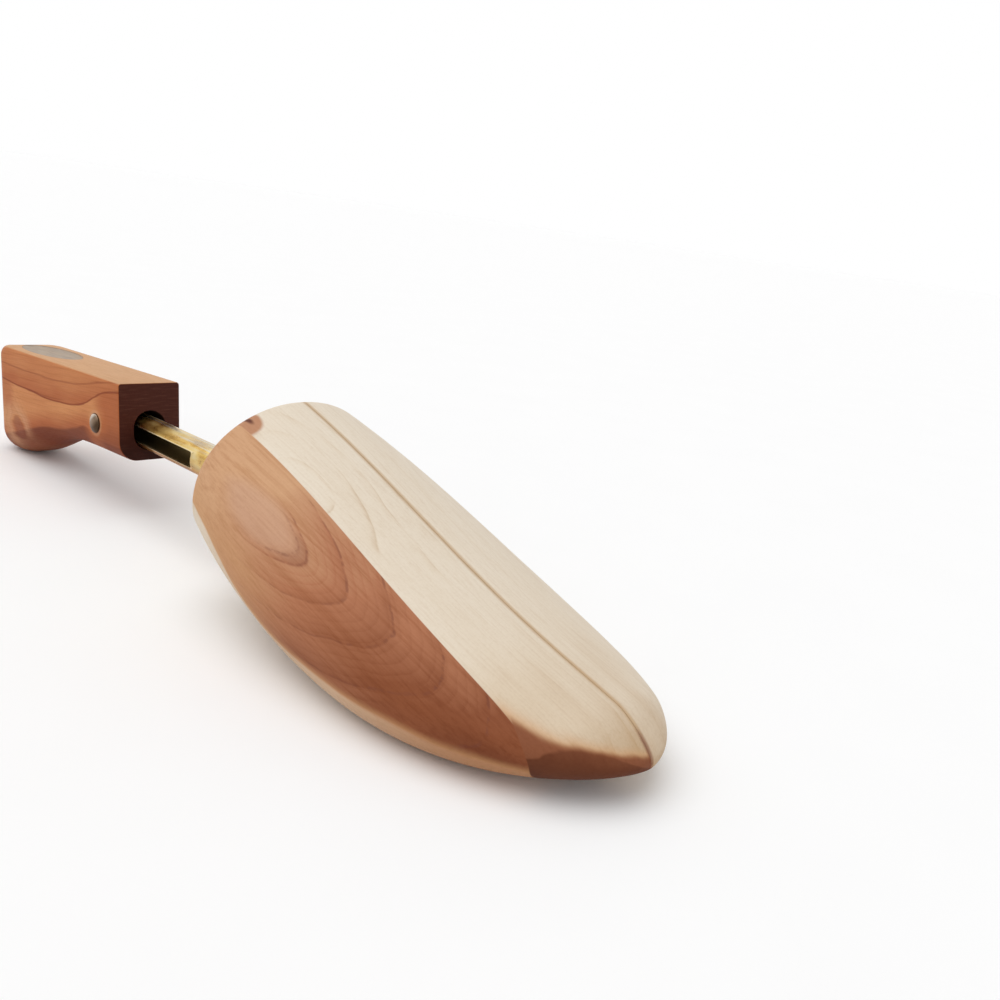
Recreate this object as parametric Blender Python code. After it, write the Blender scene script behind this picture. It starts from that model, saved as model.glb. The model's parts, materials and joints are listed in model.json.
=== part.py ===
"""Split-toe cedar shoe tree: two toe halves, one slotted spring tube and a heel block.

Metres, +Z up, +X towards the toe, +Y to the left of the foot. The tree stands on
its toe and on the back of its heel, with the tube level between them.
"""

import math

import bpy
import numpy as np
from mathutils import Matrix, Vector

# Toe: two halves, measured from their rear face and from their sole
TOE_LENGTH = 0.158
TOE_REAR_HALF_WIDTH = 0.0322
TOE_BALL_HALF_WIDTH = 0.0413
TOE_BALL_X = 0.074
TOE_REAR_HEIGHT = 0.0474
TOE_FRONT_HEIGHT = 0.0390
TOE_LEVEL_X = 0.125
TOE_LOWEST_X = 0.040
TOE_REAR_RISE = 0.0024
TOE_TIP_HEIGHT = 0.0308
TOE_NOSE_LENGTH = 0.016
TOE_REAR_EDGE_RADIUS = 0.0045
TOE_KERF = 0.0009
TOE_GIRTH_SHARE = 0.38
TOE_SOLE_SHARE = 0.63
TOE_NOSE_POWER = 2.45
TOE_NOSE_ROUND = 0.55
TOE_ROCKER_POWER = 2.5
TOE_CROWN_POWER = 0.95
TOE_SOLE_POWER = 0.9

# Wire pivot of the tube just behind the toe, and the toe's pitch below the tube
PIVOT_SETBACK = 0.0015
PIVOT_HEIGHT = 0.01127
TOE_PITCH = math.radians(15.5)
TOE_RISE = math.radians(24.0)
TOE_SLOT_HEADROOM = 0.012
TOE_WIRE_DIAMETER = 0.0014
TOE_WIRE_LEG = 0.026
TOE_WIRE_OFFSET = 0.0017
TOE_WIRE_BEND = 0.0014
TOE_WIRE_LOOP = 0.0019

# Guide pins that keep the toe halves in line
GUIDE_PIN_DIAMETER = 0.004
GUIDE_PIN_DEPTH = 0.014
GUIDE_PINS = {"rear_guide_pin": (0.050, 0.026), "front_guide_pin": (0.105, 0.022)}

# Tube and its slot
TUBE_DIAMETER = 0.0125
TUBE_WALL = 0.0009
TUBE_NOSE = 0.006
TUBE_EXPOSED = 0.0806
TUBE_TAIL = 0.0085
SLOT_WIDTH = 0.006
SLOT_REACH = 0.0391

# Heel block, measured from its front face and from the bore's axis
HEEL_LENGTH = 0.114
HEEL_HALF_WIDTH = 0.0125
HEEL_TOP = 0.0172
HEEL_TOP_SLOPE = math.radians(3.2)
HEEL_FRONT_DROP = 0.0125
HEEL_WAIST_DROP = 0.0113
HEEL_WAIST_X = 0.046
HEEL_BULGE_X = 0.101
HEEL_BACK_RISE = 0.0016
HEEL_BACK_UNDER = 0.0085
HEEL_BACK_RADIUS = 0.0108
HEEL_EDGE_RADIUS = 0.0012
HEEL_BACK_TOP_ROUND = 0.0068
HEEL_BACK_BLEND = 0.016
HEEL_BACK_EDGE_REACH = 0.010
HEEL_BACK_EDGE_DROP = 0.0062
HEEL_FRONT_ROUND = 0.0075
HEEL_UNDER_ROUND = 0.0100
HEEL_UNDER_SHARE = 0.9
HEEL_DROOP = math.radians(6.0)

# Domed nail through the heel's right side into the tube's slot
PIN_SETBACK = 0.0188
PIN_DIAMETER = 0.0045
PIN_HEAD_DIAMETER = 0.0072
PIN_HEAD_HEIGHT = 0.0012
PIN_CROWN_SHARE = 0.08
PIN_TIP_GAP = 0.0012

# Compression spring behind the tube
SPRING_WIRE = 0.0014
SPRING_DIAMETER = 0.0118
SPRING_LENGTH = 0.055
SPRING_TURNS = 12

# Oval label let into the heel's top
LABEL_LENGTH = 0.045
LABEL_WIDTH = 0.017
LABEL_THICKNESS = 0.0005
LABEL_SETBACK = 0.0315

# Clearances
SWING_CLEARANCE = 0.0004
RUNNING_CLEARANCE = 0.0001
SEAT_GAP = 0.0003

# Facets
ROUND_SIDES = 32
WIRE_SIDES = 8
CURL_POINTS = 10
TOE_STATIONS = 24
HEEL_STATIONS = 22
QUARTER_STEPS = 8
BACK_STEPS = 6
BEND_STEPS = 5
EDGE_STEPS = 4

# Colours and finishes
HEARTWOOD = (0.42, 0.18, 0.09)
SAPWOOD = (0.75, 0.64, 0.50)
BRASS = (0.72, 0.55, 0.25)
STEEL = (0.56, 0.55, 0.53)
LABEL_GREY = (0.40, 0.36, 0.31)
WOOD_ROUGHNESS = 0.55
METAL_ROUGHNESS = 0.3

TUBE_RADIUS = TUBE_DIAMETER / 2
PIN_X = PIVOT_SETBACK - TUBE_EXPOSED - PIN_SETBACK
TUBE_REAR_X = PIN_X - TUBE_TAIL
SLOT_FRONT_X = PIN_X + PIN_SETBACK + SLOT_REACH
BORE_RADIUS = TUBE_RADIUS + SWING_CLEARANCE


def clear_scene():
    for old in list(bpy.data.objects):
        bpy.data.objects.remove(old, do_unlink=True)


def make_material(name, colour, roughness, metallic=0.0):
    material = bpy.data.materials.new(name)
    material.use_nodes = True
    shader = material.node_tree.nodes["Principled BSDF"]
    shader.inputs["Base Color"].default_value = (*colour, 1.0)
    shader.inputs["Roughness"].default_value = roughness
    shader.inputs["Metallic"].default_value = metallic
    return material


def make_object(name, vertices, faces, parent, material=None, smooth_angle=30.0):
    """A mesh object under parent. Without a material it is a cutter."""
    mesh = bpy.data.meshes.new(name)
    mesh.from_pydata([tuple(v) for v in vertices], [], faces)
    obj = bpy.data.objects.new(name, mesh)
    bpy.context.scene.collection.objects.link(obj)
    obj.parent = parent
    if material is None:
        obj.hide_render = True
        obj.display_type = "WIRE"
    else:
        mesh.materials.append(material)
        mesh.shade_smooth()
        mesh.set_sharp_from_angle(angle=math.radians(smooth_angle))
    return obj


def make_empty(name, parent, location, pitch=0.0):
    empty = bpy.data.objects.new(name, None)
    bpy.context.scene.collection.objects.link(empty)
    empty.parent = parent
    empty.location = location
    empty.rotation_euler = (0.0, pitch, 0.0)
    return empty


def cut(obj, cutter):
    modifier = obj.modifiers.new("cut " + cutter.name, "BOOLEAN")
    modifier.operation = "DIFFERENCE"
    modifier.solver = "EXACT"
    modifier.object = cutter


def loft(rings):
    """Vertices and faces of a closed body through rings of equal length.

    The rings run along the body and turn anticlockwise about its direction."""
    count = len(rings[0])
    vertices = [point for ring in rings for point in ring]
    faces = [tuple(range(count - 1, -1, -1))]
    for start in range(0, (len(rings) - 1) * count, count):
        for i in range(count):
            j = (i + 1) % count
            faces.append((start + i, start + j, start + count + j, start + count + i))
    last = (len(rings) - 1) * count
    faces.append(tuple(range(last, last + count)))
    return vertices, faces


def circle(centre, across, up, radius, sides):
    angles = [2 * math.pi * i / sides for i in range(sides)]
    return [centre + radius * (math.cos(a) * across + math.sin(a) * up) for a in angles]


def rod(start, end, radii, sides=ROUND_SIDES):
    """A turned body from start to end; radii are pairs of (share of the way, radius)."""
    start, end = Vector(start), Vector(end)
    along = (end - start).normalized()
    across = along.orthogonal().normalized()
    up = along.cross(across)
    return loft([circle(start.lerp(end, s), across, up, r, sides) for s, r in radii])


def swept_tube(points, radius, sides):
    """A round tube of one radius along points, without twist."""
    points = [Vector(p) for p in points]
    ends = zip([points[0]] + points[:-1], points[1:] + [points[-1]])
    tangents = [(after - before).normalized() for before, after in ends]
    across = tangents[0].orthogonal().normalized()
    rings = []
    for point, tangent in zip(points, tangents):
        across = (across - across.dot(tangent) * tangent).normalized()
        rings.append(circle(point, across, tangent.cross(across), radius, sides))
    return loft(rings)


def swing_bore(stations, radius, lowest, highest, headroom=0.0):
    """A bore along X for a round bar that tilts about the origin from lowest to highest.

    Headroom is the least that the bore rises above the origin."""
    rings = []
    for x in stations:
        offsets = sorted((x * math.tan(lowest), x * math.tan(highest)))
        low, high = offsets[0] - RUNNING_CLEARANCE, offsets[1] + RUNNING_CLEARANCE
        high = max(high, headroom)
        ring = []
        for i in range(ROUND_SIDES):
            angle = 2 * math.pi * (i + 0.5) / ROUND_SIDES
            centre = high if angle < math.pi else low
            ring.append(Vector((x, radius * math.cos(angle), centre + radius * math.sin(angle))))
        rings.append(ring)
    return loft(rings)


def round_inset(distance, radius):
    """How far a rounded end draws in at this distance from the end."""
    reach = max(0.0, radius - distance)
    return radius - math.sqrt(radius**2 - reach**2)


def ease(share):
    """A smooth step from 0 to 1."""
    return 0.5 - 0.5 * math.cos(math.pi * min(1.0, max(0.0, share)))


def toe_half_width(x):
    if x < TOE_BALL_X:
        gain = TOE_BALL_HALF_WIDTH - TOE_REAR_HALF_WIDTH
        return TOE_BALL_HALF_WIDTH - gain * ((TOE_BALL_X - x) / TOE_BALL_X) ** 2
    share = (x - TOE_BALL_X) / (TOE_LENGTH - TOE_BALL_X)
    return TOE_BALL_HALF_WIDTH * (1.0 - share**TOE_NOSE_POWER) ** TOE_NOSE_ROUND


def toe_sole(x):
    if x < TOE_LOWEST_X:
        return TOE_REAR_RISE * ((TOE_LOWEST_X - x) / TOE_LOWEST_X) ** 2
    share = (x - TOE_LOWEST_X) / (TOE_LENGTH - TOE_LOWEST_X)
    return TOE_TIP_HEIGHT * share**TOE_ROCKER_POWER


def toe_top(x):
    top = TOE_REAR_HEIGHT + (TOE_FRONT_HEIGHT - TOE_REAR_HEIGHT) * ease(x / TOE_LEVEL_X)
    nose = max(0.0, x - TOE_LENGTH + TOE_NOSE_LENGTH) / TOE_NOSE_LENGTH
    return toe_sole(x) + (top - toe_sole(x)) * math.sqrt(1.0 - nose**2)


def toe_section(x):
    """Half of the toe's outline across the foot, from the seam's top round to its sole."""
    inset = round_inset(x, TOE_REAR_EDGE_RADIUS)
    width = toe_half_width(x) - inset
    top, sole = toe_top(x) - inset, toe_sole(x) + inset
    girth = sole + TOE_GIRTH_SHARE * (top - sole)
    outline = []
    for i in range(QUARTER_STEPS + 3):
        turn = 0.5 * math.pi * i / (QUARTER_STEPS + 2)
        rise = max(0.0, math.cos(turn)) ** TOE_CROWN_POWER
        outline.append((width * math.sin(turn), girth + (top - girth) * rise))
    for i in range(1, QUARTER_STEPS + 1):
        turn = 0.5 * math.pi * i / QUARTER_STEPS
        share = max(0.0, math.cos(turn)) ** TOE_SOLE_POWER
        y = width * (TOE_SOLE_SHARE + (1 - TOE_SOLE_SHARE) * share)
        outline.append((y, girth - (girth - sole) * math.sin(turn) ** TOE_SOLE_POWER))
    outline.append((0.0, sole))
    seam = TOE_KERF / 2
    return [(seam + y * (1 - seam / width), z) for y, z in outline]


def toe_stations():
    turns = [0.5 * math.pi * i / EDGE_STEPS for i in range(EDGE_STEPS)]
    rear = [TOE_REAR_EDGE_RADIUS * (1 - math.cos(turn)) for turn in turns]
    turns = np.linspace(0.0, 0.5 * math.pi, TOE_STATIONS)[:-1]
    reach = TOE_LENGTH - TOE_REAR_EDGE_RADIUS
    return rear + [TOE_REAR_EDGE_RADIUS + reach * math.sin(turn) for turn in turns]


def toe_half_body(side):
    """One half in the pivot's frame; side is 1 for the left half and -1 for the right."""
    rings = []
    for x in toe_stations():
        points = [Vector((x + PIVOT_SETBACK, side * y, z - PIVOT_HEIGHT)) for y, z in toe_section(x)]
        rings.append(points if side < 0 else points[::-1])
    return loft(rings)


def toe_lowest():
    """How far the pitched toe reaches below the tube's axis."""
    depths = []
    for x in toe_stations():
        z = toe_sole(x) + round_inset(x, TOE_REAR_EDGE_RADIUS) - PIVOT_HEIGHT
        depths.append((x + PIVOT_SETBACK) * math.sin(TOE_PITCH) - z * math.cos(TOE_PITCH))
    return max(depths)


def heel_bottom(x, bulge):
    """Drop of the heel's underside below the bore's axis, x behind the front face."""
    if x < HEEL_WAIST_X:
        gain = HEEL_FRONT_DROP - HEEL_WAIST_DROP
        return HEEL_WAIST_DROP + gain * ((HEEL_WAIST_X - x) / HEEL_WAIST_X) ** 2
    if x < HEEL_BULGE_X:
        return HEEL_WAIST_DROP + bulge * ease((x - HEEL_WAIST_X) / (HEEL_BULGE_X - HEEL_WAIST_X))
    back = (x - HEEL_BULGE_X) / (HEEL_LENGTH - HEEL_BULGE_X)
    rise = HEEL_BACK_RISE * back**2 + round_inset(HEEL_LENGTH - x, HEEL_BACK_UNDER)
    return HEEL_WAIST_DROP + bulge - rise


def heel_stations():
    turns = [0.5 * math.pi * i / BACK_STEPS for i in range(1, BACK_STEPS + 1)]
    straight = HEEL_LENGTH - HEEL_BACK_RADIUS
    back = [straight + HEEL_BACK_RADIUS * math.sin(turn) for turn in turns]
    return list(np.linspace(0.0, straight, HEEL_STATIONS)) + back


def heel_bulge(height):
    """Depth of the heel's bulge that lets the drooping heel touch the ground."""
    depths = []
    for x in heel_stations():
        start, unit = heel_bottom(x, 0.0), heel_bottom(x, 1.0) - heel_bottom(x, 0.0)
        if unit > 0:
            sunk = (x - PIN_SETBACK) * math.sin(HEEL_DROOP) + start * math.cos(HEEL_DROOP)
            depths.append((height - sunk) / (unit * math.cos(HEEL_DROOP)))
    return min(depths)


def heel_section(x, bulge):
    """The heel's outline across the foot, clockwise seen from its back."""
    turned_in = round_inset(HEEL_LENGTH - x, HEEL_BACK_RADIUS)
    width = HEEL_HALF_WIDTH - turned_in
    top = HEEL_TOP + x * math.tan(HEEL_TOP_SLOPE)
    edge = round_inset(HEEL_LENGTH - x, HEEL_BACK_EDGE_REACH) / HEEL_BACK_EDGE_REACH
    top -= HEEL_BACK_EDGE_DROP * edge
    under = HEEL_FRONT_ROUND + (HEEL_UNDER_ROUND - HEEL_FRONT_ROUND) * ease(x / HEEL_WAIST_X)
    across = min(under, HEEL_UNDER_SHARE * width)
    under -= round_inset(HEEL_LENGTH - x, HEEL_BACK_UNDER)
    bottom = -heel_bottom(x, bulge)
    blend = ease((x - HEEL_LENGTH + HEEL_BACK_BLEND) / HEEL_BACK_BLEND)
    corner = HEEL_EDGE_RADIUS + (HEEL_BACK_TOP_ROUND - HEEL_EDGE_RADIUS) * blend
    right = []
    for i in range(EDGE_STEPS):
        turn = 0.5 * math.pi * i / (EDGE_STEPS - 1)
        y = width - min(corner, HEEL_UNDER_SHARE * width) * (1 - math.sin(turn))
        right.append((y, top - corner * (1 - math.cos(turn))))
    for i in range(QUARTER_STEPS + 1):
        turn = 0.5 * math.pi * i / QUARTER_STEPS
        y = width - across * (1 - math.cos(turn))
        right.append((y, bottom + under * (1 - math.sin(turn))))
    return right + [(-y, z) for y, z in reversed(right)]


def make_toe(toe_axis):
    """Both halves with the tube's tall slot, the wire's hole and the guide holes."""
    depth = TUBE_NOSE + TUBE_RADIUS * math.sin(TOE_PITCH) + 2 * SWING_CLEARANCE
    stations = (-TUBE_NOSE, 0.0, depth)
    swing = TOE_PITCH - TOE_RISE, TOE_PITCH
    bore = swing_bore(stations, BORE_RADIUS, *swing, TOE_SLOT_HEADROOM)
    socket = make_object("toe_socket_cutter", *bore, toe_axis)
    hole_radius = TOE_WIRE_DIAMETER / 2 + RUNNING_CLEARANCE
    for name, side, colour in (
        ("right_toe_half", -1, HEARTWOOD),
        ("left_toe_half", 1, SAPWOOD),
    ):
        cedar = make_material(name, colour, WOOD_ROUGHNESS)
        half = make_object(name, *toe_half_body(side), toe_axis, cedar)
        cut(half, socket)
        leg = toe_wire_route(side)[-2:]
        leg[1] += (leg[1] - leg[0]).normalized() * SEAT_GAP
        hole = rod(*leg, ((0, hole_radius), (1, hole_radius)), ROUND_SIDES // 2)
        cut(half, make_object(name + "_wire_cutter", *hole, toe_axis))
        for pin, place in GUIDE_PINS.items():
            radius = GUIDE_PIN_DIAMETER / 2 + RUNNING_CLEARANCE
            hole = guide_rod(place, side, GUIDE_PIN_DEPTH + SEAT_GAP, radius)
            cut(half, make_object(pin + "_cutter_" + name, *hole, toe_axis))


def guide_rod(place, side, depth, radius):
    """A rod across the seam: from just past the seam to depth in the half on that side."""
    x, z = place[0] + PIVOT_SETBACK, place[1] - PIVOT_HEIGHT
    ends = sorted((side * depth, -side * TOE_KERF))
    return rod((x, ends[0], z), (x, ends[1], z), ((0, radius), (1, radius)))


def toe_wire_route(side):
    """The wire's run out of the tube's side, back round its loop and forward into one half."""
    out = TUBE_RADIUS + TOE_WIRE_OFFSET
    bend, loop = TOE_WIRE_BEND, TOE_WIRE_LOOP
    route = [Vector((0.0, side * (out - bend), 0.0))]
    for i in range(1, BEND_STEPS + 1):
        turn = 0.5 * math.pi * i / BEND_STEPS
        y = out - bend * (1 - math.sin(turn))
        route.append(Vector((-bend * (1 - math.cos(turn)), side * y, 0.0)))
    for i in range(1, 2 * BEND_STEPS + 1):
        turn = 0.5 * math.pi * i / BEND_STEPS
        x, z = -bend - loop * math.sin(turn), -loop * (1 - math.cos(turn))
        route.append(Vector((x, side * out, z)))
    route.append(Vector((TOE_WIRE_LEG, side * out, -2 * loop)))
    return route


def make_toe_wire(toe_axis):
    route = toe_wire_route(-1)[::-1] + toe_wire_route(1)
    steel = make_material("toe_spring_wire", STEEL, METAL_ROUGHNESS, 1.0)
    body = swept_tube(route, TOE_WIRE_DIAMETER / 2, WIRE_SIDES)
    make_object("toe_spring_wire", *body, toe_axis, steel)


def make_guide_pins(toe_axis):
    for name, place in GUIDE_PINS.items():
        x, z = place[0] + PIVOT_SETBACK, place[1] - PIVOT_HEIGHT
        radius, tip = GUIDE_PIN_DIAMETER / 2, GUIDE_PIN_DIAMETER / 3
        taper = (radius - tip) / GUIDE_PIN_DEPTH
        radii = ((0, tip), (taper, radius), (1 - taper, radius), (1, tip))
        body = rod((x, -GUIDE_PIN_DEPTH, z), (x, GUIDE_PIN_DEPTH, z), radii)
        make_object(name, *body, toe_axis, make_material(name, STEEL, METAL_ROUGHNESS, 1.0))


def make_tube(frame):
    """The plated tube with a through bore, a slot on its right side and the wire's cross hole."""
    length = TUBE_NOSE - TUBE_REAR_X
    body = rod((TUBE_REAR_X, 0, 0), (TUBE_NOSE, 0, 0), ((0, TUBE_RADIUS), (1, TUBE_RADIUS)))
    tube = make_object("tube", *body, frame, make_material("tube", BRASS, METAL_ROUGHNESS, 1.0))
    past = 0.1 * length
    inner = TUBE_RADIUS - TUBE_WALL
    bore = rod((TUBE_REAR_X - past, 0, 0), (TUBE_NOSE + past, 0, 0), ((0, inner), (1, inner)))
    cut(tube, make_object("tube_bore_cutter", *bore, frame))
    slot_rear = PIN_X - PIN_DIAMETER / 2 - RUNNING_CLEARANCE
    half = SLOT_WIDTH / 2
    corner = 0.25 * SLOT_WIDTH
    outline = [(slot_rear, -half), (SLOT_FRONT_X - corner, -half), (SLOT_FRONT_X, -half + corner)]
    outline += [(x, -z) for x, z in reversed(outline)]
    rings = [[Vector((x, y, z)) for x, z in outline] for y in (0.0, -TUBE_DIAMETER)]
    cut(tube, make_object("tube_slot_cutter", *loft(rings), frame))
    hole = TOE_WIRE_DIAMETER / 2 + SEAT_GAP
    ends = (0, -TUBE_DIAMETER, 0), (0, TUBE_DIAMETER, 0)
    cross = rod(*ends, ((0, hole), (1, hole)), ROUND_SIDES // 2)
    cut(tube, make_object("tube_wire_cutter", *cross, frame))


def make_heel(heel_axis, bulge):
    """The heel block in the cross pin's frame, with its bore, pin hole and label recess."""
    rings = []
    for x in heel_stations():
        ring = [Vector((PIN_SETBACK - x, y, z)) for y, z in heel_section(x, bulge)]
        rings.append(ring)
    cedar = make_material("heel_block", HEARTWOOD, WOOD_ROUGHNESS)
    heel = make_object("heel_block", *loft(rings), heel_axis, cedar)
    end = -TUBE_TAIL - SPRING_LENGTH - 2 * SEAT_GAP
    stations = (end, -RUNNING_CLEARANCE, RUNNING_CLEARANCE, PIN_SETBACK + TUBE_DIAMETER)
    bore = swing_bore(stations, BORE_RADIUS, -HEEL_DROOP, 0.0)
    cut(heel, make_object("heel_bore_cutter", *bore, heel_axis))
    radius = PIN_DIAMETER / 2 + RUNNING_CLEARANCE
    hole = rod((0, -2 * HEEL_HALF_WIDTH, 0), (0, 0, 0), ((0, radius), (1, radius)))
    cut(heel, make_object("heel_pin_cutter", *hole, heel_axis))
    margin = RUNNING_CLEARANCE
    depth = LABEL_THICKNESS + SEAT_GAP
    cut(heel, make_object("heel_label_cutter", *label_plate(margin, -depth, depth), heel_axis))
    foil = make_material("heel_label", LABEL_GREY, WOOD_ROUGHNESS)
    make_object("heel_label", *label_plate(0.0, SEAT_GAP - depth, 0.0), heel_axis, foil)


def label_plate(margin, low, high):
    """The oval label on the sloping top, from low to high above the surface."""
    along = Vector((-math.cos(HEEL_TOP_SLOPE), 0.0, math.sin(HEEL_TOP_SLOPE)))
    across = Vector((0.0, 1.0, 0.0))
    normal = across.cross(along)
    normal = normal if normal.z > 0 else -normal
    back = HEEL_LENGTH - LABEL_SETBACK
    centre = Vector((PIN_SETBACK - back, 0.0, HEEL_TOP + back * math.tan(HEEL_TOP_SLOPE)))
    rings = []
    for height in (low, high):
        ring = []
        for i in range(ROUND_SIDES):
            turn = 2 * math.pi * i / ROUND_SIDES
            offset = (LABEL_LENGTH / 2 + margin) * math.cos(turn) * -along
            offset += (LABEL_WIDTH / 2 + margin) * math.sin(turn) * across
            ring.append(centre + offset + height * normal)
        rings.append(ring)
    return loft(rings)


def make_cross_pin(pin_axis):
    """A nail with a domed head on the heel's right side."""
    steel = make_material("heel_cross_pin", STEEL, METAL_ROUGHNESS, 1.0)
    radius, head = PIN_DIAMETER / 2, PIN_HEAD_DIAMETER / 2
    seat = -HEEL_HALF_WIDTH - SEAT_GAP
    start, end = seat - PIN_HEAD_HEIGHT, TUBE_RADIUS - TUBE_WALL - PIN_TIP_GAP
    length = end - start
    shank = PIN_HEAD_HEIGHT / length
    dome = []
    for i in range(BACK_STEPS + 1):
        turn = 0.5 * math.pi * max(PIN_CROWN_SHARE, i / BACK_STEPS)
        dome.append(((1 - math.cos(turn)) * shank, head * math.sin(turn)))
    radii = dome + [(shank, radius), (1 - radius / length, radius), (1, radius / 2)]
    make_object("heel_cross_pin", *rod((0, start, 0), (0, end, 0), radii), pin_axis, steel)


def make_spring(heel_axis):
    """The coil behind the tube, in line with the tube as it stands."""
    radius = (SPRING_DIAMETER - SPRING_WIRE) / 2
    rear, front = -TUBE_TAIL - SPRING_LENGTH, -TUBE_TAIL - SEAT_GAP
    run = front - rear - SPRING_WIRE
    points = []
    for i in range(SPRING_TURNS * CURL_POINTS + 1):
        share = i / (SPRING_TURNS * CURL_POINTS)
        turn = 2 * math.pi * SPRING_TURNS * share
        x = rear + SPRING_WIRE / 2 + run * share
        points.append(Vector((x, radius * math.cos(turn), radius * math.sin(turn))))
    apart = []
    for i, a in enumerate(points):
        apart += [(a - b).length for b in points[i + CURL_POINTS // 2 :]]
    print(f"compression_spring least gap to itself {(min(apart) - SPRING_WIRE) * 1000:.2f} mm")
    tilt = Matrix.Rotation(HEEL_DROOP, 3, "Y")
    points = [tilt @ point for point in points]
    steel = make_material("compression_spring", STEEL, METAL_ROUGHNESS, 1.0)
    body = swept_tube(points, SPRING_WIRE / 2, WIRE_SIDES)
    make_object("compression_spring", *body, heel_axis, steel)


def centre_of_length():
    """The middle of the tree along the tube, counted from the toe's pivot."""
    pitch = math.cos(TOE_PITCH), math.sin(TOE_PITCH)
    front = max(
        (x + PIVOT_SETBACK) * pitch[0] + (z - PIVOT_HEIGHT) * pitch[1]
        for x in toe_stations()
        for _, z in toe_section(x)
    )
    bulge = heel_bulge(toe_lowest())
    back = min(
        PIN_X + (PIN_SETBACK - x) * math.cos(HEEL_DROOP) - z * math.sin(HEEL_DROOP)
        for x in heel_stations()
        for _, z in heel_section(x, bulge)
    )
    return (front + back) / 2


def main():
    clear_scene()
    height = toe_lowest()
    frame = make_empty("tube_axis", None, (-centre_of_length(), 0.0, height))
    toe_axis = make_empty("toe_axis", frame, (0.0, 0.0, 0.0), TOE_PITCH)
    pin_axis = make_empty("pin_axis", frame, (PIN_X, 0.0, 0.0))
    heel_axis = make_empty("heel_axis", pin_axis, (0.0, 0.0, 0.0), -HEEL_DROOP)
    make_toe(toe_axis)
    make_toe_wire(toe_axis)
    make_guide_pins(toe_axis)
    make_tube(frame)
    make_cross_pin(pin_axis)
    make_heel(heel_axis, heel_bulge(height))
    make_spring(heel_axis)


main()
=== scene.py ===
"""Looks of the split-toe cedar shoe tree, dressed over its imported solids.

Metres in the row frame: +X towards the toe, +Y to the left of the foot, +Z up.
Grain is laid out in millimetres: on the toe from its rear face and its sole, and on
the heel from its front face and the bore's axis.
"""

import json
from collections import namedtuple
from math import cos, pi, radians, sin, sqrt, tan

import bpy
import numpy as np
from mathutils import Matrix, Vector

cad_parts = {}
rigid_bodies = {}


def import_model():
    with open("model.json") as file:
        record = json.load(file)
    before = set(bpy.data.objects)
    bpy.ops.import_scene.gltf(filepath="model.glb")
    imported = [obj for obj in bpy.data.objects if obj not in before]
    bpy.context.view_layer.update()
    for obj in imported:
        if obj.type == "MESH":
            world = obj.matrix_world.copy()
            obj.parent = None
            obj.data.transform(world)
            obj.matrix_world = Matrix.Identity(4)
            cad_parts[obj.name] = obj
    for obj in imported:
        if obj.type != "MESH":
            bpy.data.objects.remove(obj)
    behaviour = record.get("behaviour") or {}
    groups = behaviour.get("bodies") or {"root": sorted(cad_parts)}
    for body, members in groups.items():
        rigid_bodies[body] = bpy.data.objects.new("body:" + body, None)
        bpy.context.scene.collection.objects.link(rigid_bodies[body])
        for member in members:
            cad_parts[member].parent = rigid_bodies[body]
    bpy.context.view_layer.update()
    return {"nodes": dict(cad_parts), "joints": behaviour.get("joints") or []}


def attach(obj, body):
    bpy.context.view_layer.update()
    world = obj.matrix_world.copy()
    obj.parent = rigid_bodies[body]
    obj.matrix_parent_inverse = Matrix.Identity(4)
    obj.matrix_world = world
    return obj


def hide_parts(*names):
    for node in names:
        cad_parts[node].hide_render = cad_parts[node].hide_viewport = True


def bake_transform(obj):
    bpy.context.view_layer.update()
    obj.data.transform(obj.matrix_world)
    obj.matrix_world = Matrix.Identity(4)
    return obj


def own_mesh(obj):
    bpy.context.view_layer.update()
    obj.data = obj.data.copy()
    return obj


# Camera at the photograph's viewing angle
CAMERA_ROWS = (
    (0.732999, -0.286332, 0.617030, 0.276070),
    (0.665843, 0.116447, -0.736948, -0.189243),
    (0.139160, 0.951028, 0.276008, 0.130164),
)
CAMERA_LENS = 34.981
CAMERA_SENSOR = 36.0
CAMERA_NEAREST = 0.01

# Toe: two halves, measured from their rear face and from their sole
TOE_LENGTH = 0.158
TOE_REAR_HALF_WIDTH = 0.0322
TOE_BALL_HALF_WIDTH = 0.0413
TOE_BALL_X = 0.074
TOE_REAR_HEIGHT = 0.0474
TOE_FRONT_HEIGHT = 0.0390
TOE_LEVEL_X = 0.125
TOE_LOWEST_X = 0.040
TOE_REAR_RISE = 0.0024
TOE_TIP_HEIGHT = 0.0308
TOE_NOSE_LENGTH = 0.016
TOE_REAR_EDGE_RADIUS = 0.0045
TOE_SEAM_GAP = 0.00014
TOE_SEAM_EASE = 0.0003
TOE_SEAM_EASE_SHARE = 0.2
TOE_GIRTH_SHARE = 0.38
TOE_SOLE_SHARE = 0.63
TOE_NOSE_POWER = 2.45
TOE_NOSE_ROUND = 0.55
TOE_ROCKER_POWER = 2.5
TOE_CROWN_POWER = 0.95
TOE_SOLE_POWER = 0.9

# Wire pivot of the tube just behind the toe, and the toe's pitch below the tube
PIVOT_SETBACK = 0.0015
PIVOT_HEIGHT = 0.01127
TOE_PITCH = radians(15.5)
TOE_RISE = radians(24.0)
TOE_SLOT_HEADROOM = 0.012
TOE_WIRE_DIAMETER = 0.0014
TOE_WIRE_LEG = 0.026
TOE_WIRE_OFFSET = 0.0017
TOE_WIRE_BEND = 0.0014
TOE_WIRE_LOOP = 0.0019

# Guide pins
GUIDE_PIN_DIAMETER = 0.004
GUIDE_PIN_DEPTH = 0.014
GUIDE_PINS = ((0.050, 0.026), (0.105, 0.022))

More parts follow.
